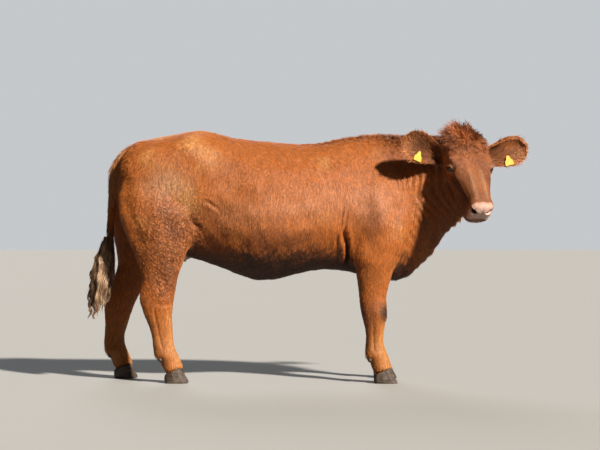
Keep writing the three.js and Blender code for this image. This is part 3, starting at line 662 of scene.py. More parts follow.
def paint(mesh, layer, values):      # four numbers at each point
    data = mesh.attributes.new(layer, "FLOAT_COLOR", "POINT").data
    data.foreach_set("color", np.stack(values, 1).astype(np.float32).ravel())


gold, rose, brown, dark, bare, pale = tonesAt(skinPoints, skinNormals, skinKind)
paint(skin.data, "tones", (gold, rose, brown, dark))


class Term:      # a socket that can be added to, multiplied and so on
    def __init__(self, look, socket):
        self.look, self.socket = look, socket

    def reckon(self, operation, other, turned=False):
        first, second = (other, self) if turned else (self, other)
        return Term(self.look, self.look.node("ShaderNodeMath", {"operation": operation},
                                              {0: first, 1: second}).outputs[0])

    def __add__(self, other):
        return self.reckon("ADD", other)

    def __sub__(self, other):
        return self.reckon("SUBTRACT", other)

    def __rsub__(self, other):
        return self.reckon("SUBTRACT", other, True)

    def __mul__(self, other):
        return self.reckon("MULTIPLY", other)

    def __truediv__(self, other):
        return self.reckon("DIVIDE", other)

    def __pow__(self, other):
        return self.reckon("POWER", other)

    __radd__ = __add__


class Look:      # a material being made
    def __init__(self, name, **fixed):
        self.material = bpy.data.materials.new(name)
        self.material.use_nodes = True
        self.tree = self.material.node_tree
        self.shader = self.tree.nodes["Principled BSDF"]
        for key, value in fixed.items():
            self.shader.inputs[key].default_value = value

    def node(self, kind, settings=None, sockets=None):
        made = self.tree.nodes.new(kind)
        for key, value in (settings or {}).items():
            setattr(made, key, value)
        for key, value in (sockets or {}).items():
            value = value.socket if isinstance(value, Term) else value
            if isinstance(value, bpy.types.NodeSocket):
                self.tree.links.new(value, made.inputs[key])
            else:
                made.inputs[key].default_value = value
        return made

    def place(self, location=(0, 0, 0), scale=(1, 1, 1), rotation=(0, 0, 0)):
        whole = self.node("ShaderNodeTexCoord").outputs["Object"]
        return self.node("ShaderNodeMapping", {}, {"Vector": whole, "Location": location, "Scale": scale,
                                                   "Rotation": rotation}).outputs[0]

    def noise(self, size, detail=2.0, rough=0.5, **placing):      # size in metres
        at = self.place(**placing)
        return Term(self, self.node("ShaderNodeTexNoise", {}, {
            "Vector": at, "Scale": 1 / size, "Detail": detail, "Roughness": rough}).outputs["Fac"])

    def cells(self, size):
        return Term(self, self.node("ShaderNodeTexVoronoi", {}, {
            "Vector": self.place(), "Scale": 1 / size}).outputs["Distance"])

    def painted(self, layer):      # the four channels of a painted layer
        node = self.node("ShaderNodeAttribute", {"attribute_name": layer})
        parts = self.node("ShaderNodeSeparateColor", {}, {"Color": node.outputs["Color"]}).outputs
        return [Term(self, s) for s in (parts["Red"], parts["Green"], parts["Blue"], node.outputs["Alpha"])]

    def step(self, term, low, high):
        return Term(self, self.node("ShaderNodeMapRange", {"interpolation_type": "SMOOTHSTEP"}, {
            "Value": term, "From Min": low, "From Max": high}).outputs["Result"])

    def blend(self, factor, first, second, mode="MIX"):
        return self.node("ShaderNodeMix", {"data_type": "RGBA", "blend_type": mode, "clamp_factor": True}, {
            "Factor": factor, 6: first, 7: second}).outputs[2]

    def finish(self, colour=None, roughness=None, bump=None, distance=0.001, strength=1.0):
        if colour is not None:
            self.tree.links.new(colour, self.shader.inputs["Base Color"])
        if roughness is not None:
            self.tree.links.new(roughness.socket, self.shader.inputs["Roughness"])
        if bump is not None:
            raised = self.node("ShaderNodeBump", {}, {
                "Height": bump, "Distance": distance, "Strength": strength})
            self.tree.links.new(raised.outputs[0], self.shader.inputs["Normal"])
        return self.material


coatColours = {"chestnut": (0.51, 0.142, 0.023, 1), "gold": (0.74, 0.34, 0.100, 1),
               "rose": (0.57, 0.225, 0.098, 1), "brown": (0.155, 0.046, 0.019, 1),
               "dark": (0.030, 0.012, 0.007, 1), "pale": (0.66, 0.37, 0.20, 1),
               "nose": (0.92, 0.57, 0.44, 1), "noseDeep": (0.62, 0.29, 0.20, 1)}


def coatLook(name, onSkin):
    c = coatColours
    look = Look(name, **{"Specular IOR Level": 0.35, "Sheen Weight": 0.04, "Sheen Roughness": 0.4,
                         "Sheen Tint": (1.0, 0.70, 0.45, 1)})
    gold, rose, brown, dark = look.painted("tones")
    vary, along, special, pale = look.painted("hairs")      # special: bareness on the skin, curl on hair
    patches = look.noise(0.10, 3.0)
    streaks = look.noise(0.006, 3.0, scale=(1, 1, 0.16), rotation=(0, 0.3, 0))
    colour = look.blend(look.step(gold + patches * 0.5, 0.35, 1.15), c["chestnut"], c["gold"])
    colour = look.blend(rose * 0.75, colour, c["rose"])
    colour = look.blend(look.step(brown + patches * 0.35 - 0.12, 0.05, 1.0) * 0.85, colour, c["brown"])
    colour = look.blend(pale, colour, c["pale"])
    colour = look.blend(look.step(dark, 0.1, 1.0) * 0.92, colour, c["dark"])
    blotches = look.noise(0.022, 3.0, scale=(1, 1, 0.3), rotation=(0, 0.3, 0))
    lightness = (streaks - 0.5) * 1.1 + (blotches - 0.5) * 0.22 + (vary - 0.5) * 1.05 + along * 0.34
    lightness = lightness + (0.72 if onSkin else 0.90)
    if not onSkin:      # painted shade between the curls: dark roots and light tips where it curls
        lightness = lightness * (1 - special * (1 - along) * 0.8) + special * along * 0.14
    grey = look.node("ShaderNodeCombineColor", {}, dict.fromkeys(("Red", "Green", "Blue"), lightness))
    colour = look.blend(1.0, colour, grey.outputs[0], "MULTIPLY")
    if onSkin:
        mottle = look.noise(0.012, 3.0)
        nose = look.blend(look.step(mottle * 0.7 + (1 - special) * 0.8, 0.3, 1.0), c["nose"], c["noseDeep"])
        notDark = look.step(dark, 0.9, 0.3)
        colour = look.blend(look.step(special, 0.08, 0.30) * notDark, colour, nose)
        pits = look.cells(0.0042)
        hair = look.noise(0.0022, 4.0, 0.65, scale=(1, 1, 0.10), rotation=(0, 0.3, 0))
        isBare = look.step(special, 0.10, 0.32)
        bump = hair * (1 - isBare) + pits * isBare * 0.32
        return look.finish(colour, 0.56 - isBare * 0.22, bump, 0.0028, 0.8)
    return look.finish(colour, 0.5 - along * 0.08)


skinLook = coatLook("skin and coat", True)
hairLook = coatLook("coat hair", False)
skin.data.materials.append(skinLook)
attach(skin, "root")
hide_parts(*flesh)
print("coat materials made")

coatMake = {      # length and width in metres, lift in degrees, tufts to the square metre, clump size
    "trunk": (0.022, 0.0021, 8, 32000, 0.020),
    "neck": (0.025, 0.0026, 11, 30000, 0.020),
    "head": (0.012, 0.0019, 14, 66000, 0.014),
    "leg": (0.016, 0.0023, 10, 30000, 0.018),
    "ear": (0.017, 0.0022, 16, 60000, 0.015),
    "tail": (0.034, 0.0030, 11, 34000, 0.022),
    "udder": (0.007, 0.0015, 10, 9000, 0.020),
}


def skinSheet():      # what the roots of the coat are drawn from
    mesh = skin.data
    count = len(mesh.polygons)
    corner = np.empty(count * 3, np.int32)
    mesh.polygons.foreach_get("vertices", corner)
    area = np.empty(count, np.float32)
    mesh.polygons.foreach_get("area", area)
    uv = np.empty(count * 6, np.float32)
    mesh.uv_layers["OFBake"].uv.foreach_get("vector", uv)
    return corner.reshape(-1, 3), area.astype(float), uv.reshape(-1, 3, 2).astype(float)


corners, faceArea, faceUv = skinSheet()
faceKind = skinKind[corners[:, 0]]
faceMiddle = skinPoints[corners].mean(1)
faceNormal = unit(skinNormals[corners].mean(1))


def scatter(density, seed):      # roots over the skin, so many to the square metre
    chance = np.random.default_rng(seed)
    share = faceArea * density
    total = np.cumsum(share)
    spots = (np.arange(int(total[-1])) + chance.random(int(total[-1]))) * total[-1] / int(total[-1])
    face = np.clip(np.searchsorted(total, spots), 0, len(total) - 1)
    a, b = chance.random(len(face)), chance.random(len(face))
    fold = a + b > 1
    a, b = np.where(fold, 1 - a, a), np.where(fold, 1 - b, b)
    weight = np.stack([1 - a - b, a, b], 1)[..., None]
    at = corners[face]
    return {"p": (skinPoints[at] * weight).sum(1), "n": unit((skinNormals[at] * weight).sum(1)),
            "uv": (faceUv[face] * weight).sum(1), "kind": faceKind[face], "many": density[face],
            "chance": chance}


def turned(t, n, angle):
    angle = np.asarray(angle).reshape(-1, 1)
    return t * np.cos(angle) + np.cross(n, t) * np.sin(angle)


def lieAt(p, n, kind):      # which way the hair lies
    x, _, z = p.T
    out = np.zeros((len(p), 3)) + (-0.32, 0, -1)
    top = ease(0.55, 0.95, n[:, 2])[:, None]
    out = out * (1 - top) + np.array((-1, 0, -0.1)) * top
    rump = ease(-0.72, -0.92, x)[:, None]
    out = out * (1 - rump) + np.array((-0.5, 0, -1)) * rump
    below = ease(-0.5, -0.85, n[:, 2])[:, None]
    out = out * (1 - below) + np.array((-1, 0, -0.3)) * below
    thigh = (spot(p, -0.70, 0.76, 0.16, 0.8, 0.6) * ease(0.3, 0.7, np.abs(n[:, 1])))[:, None]
    out = out * (1 - thigh) + np.array((-0.62, 0, -0.8)) * thigh
    hip = (0.6 * spot(p, -0.48, 0.95, 0.09) * ease(0.4, 0.8, np.abs(n[:, 1])))[:, None]
    whirl = np.stack([-(z - 0.90), x * 0, x + 0.50], 1) * 9 + np.array((0.5, 0, -0.6))
    out = out * (1 - hip) + whirl * hip
    out[isKind(kind, "neck")] = (-0.6, 0.28, -0.78)
    out[isKind(kind, *legNames)] = (-0.16, 0, -1)
    out[isKind(kind, "tail", "udder")] = (0, 0, -1)
    h = toHead(p)
    hx, hy, hz = h.T
    down = ease(120, 185, hx)[:, None]
    away = unit(np.stack([hx - 150, hy * 1.1, hx * 0], 1) + 1e-6)
    flow = away * (1 - down) + unit(np.stack([hx * 0 + 1, hy * 0.004, hx * 0 - 0.15], 1)) * down
    cheek = (ease(-40, -95, hz) * ease(380, 300, hx))[:, None]
    flow = flow * (1 - cheek) + np.array((-0.35, 0, -0.9)) * cheek
    for side in (-1, 1):
        off = h - eyePlaceOf(side)
        near = ease(52, 28, np.linalg.norm(off, axis=1))[:, None]
        flow = flow * (1 - near) + unit(off) * near
    head = isKind(kind, "head")
    out[head] = (flow @ headTurn.T)[head]
    for name in earNames:
        mine, side = isKind(kind, name), name.split("_")[0]
        spread = toEar(p, side)[:, 1] / 60
        out[mine] = (np.stack([np.ones(len(p)), spread * 0.9, spread * 0], 1) @ earAxes(side).T)[mine]
    return unit(onSurface(out, n))


def regionsAt(p, n, kind):      # masks for the places where the coat differs
    x, _, z = p.T
    body = isKind(kind, "trunk", "neck", *legNames) * 1.0
    side = ease(0.2, 0.6, np.abs(n[:, 1]))
    h = toHead(p)
    head = isKind(kind, "head") * 1.0
    out = {}
    thigh = spot(p, -0.70, 0.76, 0.145, 0.75, 0.62) * ease(0.30, 0.5, z)
    out["curl"] = body * np.clip(thigh * 1.25, 0, 1) * ease(-0.5, -0.56, x) * side
    out["gaskin"] = isKind(kind, *hindNames) * spot(p, -0.73, 0.54, 0.07, 1, 0.6) * side
    out["fringe"] = body * hump(z, 0.655, 0.055) * band(x, -0.44, -0.3, 0.05, 0.2)
    out["fringe"] *= ease(0.9, 0.3, -n[:, 2])
    out["crest"] = crestMask(p) * isKind(kind, "trunk", "neck")
    out["crimp"] = body * ease(1.0, 1.15, z) * ease(-0.62, -0.45, x)
    out["tailHead"] = ease(1.0, 1.12, z) * ease(-0.84, -0.9, x) * isKind(kind, "tail", "trunk")
    out["brisket"] = body * ease(0.76, 0.62, z) * ease(0.36, 0.46, x)
    out["belly"] = body * ease(-0.35, -0.75, n[:, 2]) * band(z, 0.45, 0.55, 0.6, 0.8)
    out["forehead"] = head * ease(150, 60, h[:, 0]) * ease(-75, -25, h[:, 2])
    out["jaw"] = head * ease(-130, -190, h[:, 2]) * ease(390, 330, h[:, 0])
    out["coronet"] = isKind(kind, *legNames) * ease(0.11, 0.085, z)
    out["fetlock"] = isKind(kind, *legNames) * hump(z, 0.14, 0.035) * ease(-0.2, -0.7, n[:, 0])
    out["hock"] = isKind(kind, *hindNames) * hump(z, 0.62, 0.12) * ease(-0.1, -0.7, n[:, 0])
    out["elbow"] = body * spot(p, 0.24, 0.66, 0.06)
    out["woolly"] = np.clip(out["curl"] + out["gaskin"] + 0.8 * out["fringe"], 0, 1)
    return out


# painted shade: the skin is darker under curly hair, so the gaps between the curls look shaded
shadeUnderCurls = 0.42 - 0.27 * regionsAt(skinPoints, skinNormals, skinKind)["woolly"]
paint(skin.data, "hairs", (shadeUnderCurls, shadeUnderCurls * 0 + 0.15, bare, pale))


regionLength = {"curl": -0.48, "gaskin": -0.35, "fringe": -0.25, "crest": 0.95, "tailHead": 0.30,
                "brisket": 0.1, "belly": 0.3, "forehead": 1.3, "jaw": 0.5, "coronet": 0.9, "fetlock": 1.2,
                "hock": 0.5, "elbow": 0.5, "crimp": -0.3}
regionLift = {"curl": 14, "fringe": 18, "crest": 46, "tailHead": 12, "brisket": 3, "belly": 6,
              "forehead": 22, "jaw": 8, "coronet": 6, "fetlock": 16, "hock": 12, "elbow": 12, "crimp": 10}
regionCurl = {"curl": 1, "forehead": 0.7, "fringe": 0.9, "crest": 0.6, "crimp": 0.4}
regionWeave = {"curl": 1, "crimp": 0.30, "crest": 0.4, "forehead": 0.45, "fringe": 0.9, "gaskin": 0.9,
               "hock": 0.2}


def blendOf(where, shares):
    return sum(where[key] * share for key, share in shares.items())


def rootDensity():      # tufts to the square metre on each face of the skin
    bare = tonesAt(faceMiddle, faceNormal, faceKind)[4]
    where = regionsAt(faceMiddle, faceNormal, faceKind)
    many = valuesOf({s: row[3] for s, row in coatMake.items()}, faceKind).astype(float)
    many *= 1 + 1.5 * where["woolly"] + 0.7 * where["crest"] + 0.7 * where["coronet"]
    high = ease(0.45, 0.75, faceMiddle[:, 2]) * (1 - where["woolly"])
    many *= np.where(isKind(faceKind, *legNames), 1 - 0.55 * high, 1)
    many *= np.where(bare > 0.16, np.where(isKind(faceKind, "udder"), 1, 0.02), 1)
    h, onHead = toHead(faceMiddle), isKind(faceKind, "head")
    for side in (-1, 1):      # none on the eyeballs or in the nostrils
        a, u, v, _ = eyeSpot(h, side)
        upper, lower = lidEdges(u)
        close = np.abs(h - eyePlaceOf(side)).max(1) < 60
        many[(v < upper + 0.30) & (v > lower - 0.22) & (np.abs(u) < 1.12) & (a > 0) & close] = 0
        many[(nostrilReach(h, side)[0] < 1.5) & onHead] = 0
    many[onHead & (np.abs(h[:, 2] - mouthLevel(h)) < 4) & (h[:, 0] > 374)] = 0
    return many


def laidCoat():      # every root of the lying coat, with its size and lie
    roots = scatter(rootDensity(), 21)
    p, n, kind, chance = roots["p"], roots["n"], roots["kind"], roots["chance"]
    where = regionsAt(p, n, kind)
    size = len(p)
    length, width, lift, _, patch = [
        valuesOf({s: row[i] for s, row in coatMake.items()}, kind) for i in range(5)]
    length = length * chance.uniform(0.75, 1.2, size)
    width = width * chance.uniform(0.8, 1.25, size)
    lift = np.radians(lift) * chance.uniform(0.4, 1.6, size)
    low = isKind(kind, *legNames) * foot(p)
    nose = isKind(kind, "head") * ease(200, 420, toHead(p)[:, 0])
    length *= (1 - 0.38 * low) * (1 - 0.42 * nose)
    width *= (1 - 0.25 * low) * (1 - 0.25 * nose)
    for key, more in regionLength.items():
        length *= 1 + more * where[key]
    for key, more in regionLift.items():
        lift += np.radians(more) * where[key] * chance.uniform(0.4, 1.3, size)
    width *= 1 + 0.40 * where["woolly"]
    lie = lieAt(p, n, kind)
    patch = patch * (1 - 0.35 * where["curl"])
    clumps = chance.random(size) < np.clip(1 / (roots["many"] * patch ** 2), 0, 1)
    gather, pull = clumpPull(p, lie, length, np.flatnonzero(clumps))
    curly = np.clip(blendOf(where, regionCurl), 0, 1)
    swing = 0.12 * ripple(p, 0.16, 31) + (0.05 + 0.75 * curly) * ripple(p, 0.030, 32)
    swing += chance.normal(0, 0.10, size)
    weave = blendOf(where, regionWeave) + 0.16 * isKind(kind, "head") + 0.10 * isKind(kind, "neck")
    return roots | {"t": turned(lie, n, swing), "length": length, "width": width, "lift": lift,
                    "pull": pull * (0.35 + 0.4 * curly)[:, None], "crimp": length * (0.03 + 0.13 * curly),
                    "curl": curly, "weave": np.clip(weave, 0, 1),
                    "shade": 0.5 + (0.045 + 0.10 * curly) * gather + chance.normal(0, 0.12, size)}


# shade and brown: the painted shade in the troughs of the waves
weaveMake = {"wave": 0.0175, "crossing": 0.031, "height": 0.0034, "shade": 0.78, "brown": 0.75}


def weaveAt(p):      # short waves across the lie of curly hair; their dark troughs are painted shade
    a = (p * (-0.55, 0.0, -0.83)).sum(1) * 2 * math.pi / weaveMake["wave"] + 2.4 * ripple(p, 0.050, 33)
    b = (p * (0.83, 0.25, -0.50)).sum(1) * 2 * math.pi / weaveMake["crossing"] + 3.0 * ripple(p, 0.060, 35)
    waves = np.sin(a) * 0.75 + 0.45 * np.sin(b) * np.cos(a * 0.5)
    return (0.30 - 1.15 * ease(-0.05, 0.75, waves)) * (0.75 + 0.35 * ripple(p, 0.12, 34))


def clumpPull(p, lie, length, heads):      # towards the nearest lock's tip, and that lock's own number
    tree = KDTree(len(heads))
    for i, k in enumerate(heads):
        tree.insert(p[k], i)
    tree.balance()
    nearest = np.array([tree.find(q)[1] for q in p])
    target = heads[nearest]
    own = np.random.default_rng(77).normal(0, 1, len(heads))
    tipward = lie[target] * length[target, None] - lie * length[:, None]
    return np.clip(own[nearest], -1.6, 1.6), p[target] - p + tipward * 0.3


bladeMake = {"ridge": 0.6, "blunt": 0.75, "roll": 0.35}


def tuftMesh(name, r, segments, tones=None, sink=0.0012):      # bent blades
    p, n, t, length = r["p"], r["n"], r["t"], r["length"][:, None]
    count = len(p)
    across = np.cross(n, t)
    chance = np.random.default_rng(len(name) + count)
    roll = chance.normal(0, bladeMake["roll"], (count, 1))
    phase = chance.uniform(0, wholeTurn, (count, 1))
    lift, waves = r["lift"][:, None], r.get("waves", 0.55)
    centres, halves = [], []
    for k in range(segments + 1):
        s = k / segments
        rise = np.sin(lift) * (s - 0.42 * s * s) * length - sink * (1 - s)
        centre = p + t * length * s * np.cos(lift * 0.8) + n * rise + r["pull"] * s * s
        centre = centre + across * (r["crimp"][:, None] * np.sin(phase + s * wholeTurn * waves)) * s ** 0.6
        centres.append(centre + r.get("droop", np.zeros(3)) * s * s)
        halves.append(r["width"] * 0.5 * (1 - s) ** bladeMake["blunt"] * (1 if k else 0.8))
    sideways = across * np.cos(roll) + n * np.sin(roll)
    up = n * np.cos(roll) - across * np.sin(roll)
    tones = tones if tones is not None else tonesAt(p, n, r["kind"])
    centres = np.stack(centres, 1)
    shade = r["shade"]
    if "weave" in r:      # the waves run through tuft after tuft, in height and in shade
        waves = np.stack([weaveAt(centres[:, k]) for k in range(segments + 1)], 1) * r["weave"][:, None]
        along = np.linspace(0, 1, segments + 1)
        centres = centres + n[:, None] * (weaveMake["height"] * waves * along)[..., None]
        shade = shade[:, None] + weaveMake["shade"] * waves
        # painted shade: the troughs are browner
        brown = np.clip(tones[2] + weaveMake["brown"] * np.clip(-waves.mean(1), 0, 1), 0, 1)
        tones = [*tones[:2], brown, *tones[3:]]
    return bladeMesh(name, centres, np.stack(halves, 1), sideways, up * bladeMake["ridge"], r["uv"], tones,
                     shade, r.get("curl"))


def bladeMesh(name, centres, halves, sideways, up, uv, tones, shade, curl=None):
    # tapered blades with a raised middle: three points a ring, one at the tip
    count, rings = halves.shape
    segments = rings - 1
    rows, uvs, alongs = [], [], []
    for k in range(segments):
        s, middle, half = k / segments, centres[:, k], halves[:, k, None]
        rows += [middle - sideways * half, middle + up * half, middle + sideways * half]
        uvs += [(side * 0.0015, 0.003 * (s - 0.5)) for side in (-1, 0, 1)]
        alongs += [s] * 3
    rows.append(centres[:, -1])
    uvs.append((0, 0.0015))
    alongs.append(1.0)
    per = len(rows)
    points = np.stack(rows, 1).reshape(-1, 3)
    faces = []
    for a in range(0, 3 * (segments - 1), 3):
        faces += [(a, a + 4, a + 1), (a, a + 3, a + 4), (a + 1, a + 5, a + 2), (a + 1, a + 4, a + 5)]
    a = 3 * (segments - 1)
    faces += [(a, a + 3, a + 1), (a + 1, a + 3, a + 2)]
    corner = (np.array(faces)[None] + (np.arange(count) * per)[:, None, None]).reshape(-1)
    mesh = bpy.data.meshes.new(name)
    mesh.vertices.add(len(points))
    mesh.vertices.foreach_set("co", points.astype(np.float32).ravel())
    mesh.loops.add(len(corner))
    mesh.loops.foreach_set("vertex_index", corner.astype(np.int32))
    mesh.polygons.add(len(corner) // 3)
    mesh.polygons.foreach_set("loop_start", np.arange(0, len(corner), 3, dtype=np.int32))
    mesh.polygons.foreach_set("use_smooth", np.ones(len(corner) // 3, bool))
    mesh.update(calc_edges=True)
    spot = np.clip(uv[:, None, :] + np.array(uvs)[None], 0.0, 1.0).reshape(-1, 2)[corner]
    mesh.uv_layers.new(name="OFBake").uv.foreach_set("vector", spot.astype(np.float32).ravel())
    gold, rose, brown, dark, _, pale = [np.repeat(v, per) for v in tones]
    paint(mesh, "tones", (gold, rose, brown, dark))
    curl = np.zeros(count) if curl is None else curl
    shade = np.broadcast_to(shade if shade.ndim == 2 else shade[:, None], (count, rings))
    shade = shade[:, [k for k in range(segments) for _ in range(3)] + [segments]].reshape(-1)
    paint(mesh, "hairs", (np.clip(shade, 0, 1), np.tile(alongs, count), np.repeat(curl, per), pale))
    return mesh


def chosen(roots, pick):
    return {key: v[pick] if isinstance(v, np.ndarray) and len(v) == len(pick) else v
            for key, v in roots.items()}


def addHair(mesh, name, look=None):
    ob = objectOf(mesh, name)
    ob.data.materials.append(look or hairLook)
    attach(ob, "root")
    print(name, len(ob.data.polygons), "triangles")
    return ob


coat = laidCoat()
x, y, _ = coat["p"].T
kind = coat["kind"]
onTrunk, right = isKind(kind, "trunk"), y < midline
rump, shoulder = x < -0.5, x >= 0.05
groups = {
    "coat_rump_right": onTrunk & rump & right, "coat_rump_left": onTrunk & rump & ~right,
    "coat_barrel_right": onTrunk & ~rump & ~shoulder & right,
    "coat_barrel_left": onTrunk & ~rump & ~shoulder & ~right,
    "coat_shoulder_right": onTrunk & shoulder & right, "coat_shoulder_left": onTrunk & shoulder & ~right,
    "coat_neck": isKind(kind, "neck"), "coat_head": isKind(kind, "head"),
    "coat_ears": isKind(kind, *earNames),
    "coat_forelegs": isKind(kind, *foreNames), "coat_hindlegs": isKind(kind, *hindNames),
    "coat_tail": isKind(kind, "tail", "udder"),
}
for name, pick in groups.items():
    addHair(tuftMesh(name, chosen(coat, pick), 2), name)
print("lying coat made:", len(x), "tufts")

pollMake = {"density": 46000, "length": 0.086, "width": 0.0040, "lock": 0.020, "gather": 0.55, "waves": 1.1}
fringeMake = {"density": 40000, "length": 0.058, "width": 0.0034, "lift": 34, "lock": 0.018, "gather": 0.75,
              "waves": 0.9}
earHairMake = {      # tufts to the square metre, length, width, lift, clump size, gathering
    "inside": (19000, 0.040, 0.0024, 20, 0.012, 0.45), "rim": (120000, 0.0145, 0.0020, 6, 0.011, 0.45)}
switchMake = {
    "line": [(-1.069, 0.760), (-1.076, 0.700), (-1.082, 0.638), (-1.087, 0.570), (-1.092, 0.500),
             (-1.102, 0.430), (-1.116, 0.370), (-1.129, 0.322)],
    "halfX": (0.012, 0.029, 0.045, 0.058, 0.059, 0.050, 0.034, 0.012),
    "halfY": (0.010, 0.022, 0.032, 0.038, 0.036, 0.028, 0.018, 0.006),
    "locks": 38, "strands": 42, "loose": 150, "width": 0.0034, "looseWidth": 0.0020, "rings": 15}


def restingHair(roots, length, width, lift, seed):
    chance = np.random.default_rng(seed)
    size = len(roots["p"])
    roots["length"] = length * chance.uniform(0.65, 1.2, size)
    roots["width"] = width * chance.uniform(0.7, 1.3, size)
    roots["lift"] = np.radians(lift) * chance.uniform(0.5, 1.4, size)
    roots["shade"] = 0.5 + chance.normal(0, 0.17, size)
    roots["pull"] = np.zeros((size, 3))
    roots["crimp"] = roots["length"] * 0.10


def clumped(roots, spacing, strength, seed):      # draws the tips together into locks
    chance = np.random.default_rng(seed)
    area = max(np.ptp(roots["p"], axis=0).max() ** 2, 1e-4) * 0.5
    heads = np.flatnonzero(chance.random(len(roots["p"])) < area / spacing ** 2 / len(roots["p"]))
    own, pull = clumpPull(roots["p"], roots["t"], roots["length"], heads)
    roots["pull"] = pull * strength
    roots["shade"] = roots["shade"] + 0.13 * own


def growPoll():
    h, headHere = toHead(faceMiddle), isKind(faceKind, "head", "neck")
    temple = 34 * ease(0, 60, h[:, 1]) * ease(0, 40, h[:, 0])      # further down on the left
    mask = headHere * ease(-34, -22, h[:, 0]) * ease(88, 60, h[:, 0])
    mask *= ease(98 + temple, 74 + temple, np.abs(h[:, 1]))
    mask *= ease(-0.1, 0.3, faceNormal[:, 2]) * (h[:, 2] > -60)
    roots = scatter(pollMake["density"] * mask, 41)
    restingHair(roots, pollMake["length"], pollMake["width"], 0, 42)
    h = toHead(roots["p"])
    across = np.clip(h[:, 1] / 92, -1, 1.3)
    back = np.clip((30 - h[:, 0]) / 60, -1, 1)
    reach = np.interp(across, [-1, -0.55, -0.2, 0.25, 0.6, 1, 1.3],
                      [0.62, 1.0, 1.24, 1.05, 0.88, 0.66, 0.5])
    roots["length"] *= reach * (0.82 + 0.18 * back)
    aim = np.stack([np.interp(across, [-1, -0.5, 0, 0.6, 1], [-1.1, -0.75, -0.28, 0.16, 0.60]),
                    np.interp(across, [-1, 0, 1], [-0.15, -0.30, -0.25]) + 0.25 * back,
                    np.interp(across, [-1, -0.5, 0, 1], [0.42, 0.85, 1.0, 0.75])], 1)
    aim += 0.30 * np.stack([ripple(roots["p"], 0.05, k) for k in (43, 44, 45)], 1)
    aim = unit(unit(aim) + 0.25 * roots["n"])
    side = np.cross(aim, (0, 1, 0.2))
    roots["n"], roots["t"] = unit(np.cross(side, aim)), aim
    roots["droop"] = np.stack([-0.012 + across * 0.006, across * 0 - 0.006,
                               -0.012 - 0.010 * np.abs(across)], 1)
    roots["crimp"] = roots["length"] * 0.10
    roots["waves"] = pollMake["waves"]
    clumped(roots, pollMake["lock"], pollMake["gather"], 46)
    return tuftMesh("poll_hair", roots, 6, sink=0.004)


def growFringe():      # the curly forelock that falls over the forehead
    h, headHere = toHead(faceMiddle), isKind(faceKind, "head")
    mask = headHere * ease(0, 25, h[:, 0]) * ease(112, 84, np.abs(h[:, 1])) * (h[:, 2] > -62)
    mask *= 0.45 * ease(225, 150, h[:, 0]) + 0.55 * ease(150, 70, h[:, 0])
    roots = scatter(fringeMake["density"] * mask, 51)
    restingHair(roots, fringeMake["length"], fringeMake["width"], fringeMake["lift"], 52)
    h = toHead(roots["p"])
    fade = np.interp(h[:, 0], [0, 60, 130, 215], [1.1, 1.0, 0.5, 0.28])
    roots["length"], roots["width"] = roots["length"] * fade, roots["width"] * (0.5 + 0.5 * fade)
    aim = np.stack([h[:, 0] * 0 + 1.0, h[:, 1] * 0.012 - 0.15, h[:, 0] * 0], 1) @ headTurn.T
    roots["t"] = turned(unit(onSurface(aim, roots["n"])), roots["n"], 0.7 * ripple(roots["p"], 0.045, 53))
    roots["crimp"] = roots["length"] * 0.16
    roots["waves"] = fringeMake["waves"]
    clumped(roots, fringeMake["lock"], fringeMake["gather"], 54)
    return tuftMesh("forelock", roots, 5)


def earHalf(t):
    fullness = 0.44 + 0.56 * np.sin((math.pi / 2) * np.minimum(1, t / 0.7) ** 1.3)
    return np.maximum(earSize["halfWidth"] * fullness * np.sqrt(np.maximum(1 - t ** 6, 0)), 8)


def growInnerHair(side):
    many, length, width, lift, lock, gather = earHairMake["inside"]
    local, facing = toEar(faceMiddle, side), faceNormal @ np.linalg.inv(earAxes(side)).T
    t = np.clip(local[:, 0] / earSize["length"], 0, 1)
    mask = isKind(faceKind, side + "_ear") * ease(0.1, 0.4, facing[:, 2]) * band(t, 0.02, 0.12, 0.75, 0.95)
    mask = mask * (1 + 1.2 * ease(0.3, -0.5, local[:, 1] / earSize["halfWidth"]))
    roots = scatter(many * mask, 61)
    restingHair(roots, length, width, lift, 62)
    here = toEar(roots["p"], side)
    fan = np.stack([here[:, 0] * 0 + 1, 0.35 + here[:, 1] / 70, here[:, 0] * 0 + 0.1], 1) @ earAxes(side).T
    roots["t"] = turned(unit(onSurface(fan, roots["n"])), roots["n"], 0.3 * ripple(roots["p"], 0.05, 63))
    roots["crimp"] = roots["length"] * 0.05
    clumped(roots, lock, gather, 64)
    tones = tonesAt(roots["p"], roots["n"], roots["kind"])
    tones[5] = 0.16 + 0.35 * ease(0.5, 0.95, here[:, 0] / earSize["length"])
    return tuftMesh(side + "_ear_inner_hair", roots, 4, tones)


def growRimHair(side):
    many, length, width, lift, lock, gather = earHairMake["rim"]
    local = toEar(faceMiddle, side)
    t = np.clip(local[:, 0] / earSize["length"], 0, 1)
    edge = np.maximum(np.abs(local[:, 1]) / earHalf(t), local[:, 0] / earSize["tip"])
    roots = scatter(many * isKind(faceKind, side + "_ear") * ease(0.80, 0.92, edge) * (t > 0.1), 65)
    restingHair(roots, length, width, lift, 66)
    here = toEar(roots["p"], side)
    tipward = ease(0.6, 1.0, here[:, 0] / earSize["tip"])
    outward = np.sign(here[:, 1]) * (0.75 - 0.3 * tipward)
    aim = np.stack([1.1 + 0.4 * tipward, outward, outward * 0 + 0.2], 1) @ earAxes(side).T
    roots["t"] = turned(unit(aim), roots["n"], 0.22 * ripple(roots["p"], 0.04, 67))
    roots["n"] = unit(onSurface(roots["n"], roots["t"]))
    clumped(roots, lock, gather, 68)
    tones = tonesAt(roots["p"], roots["n"], roots["kind"])
    tones[5] = 0.18 + 0.35 * tipward
    return tuftMesh(side + "_ear_rim_hair", roots, 4, tones)


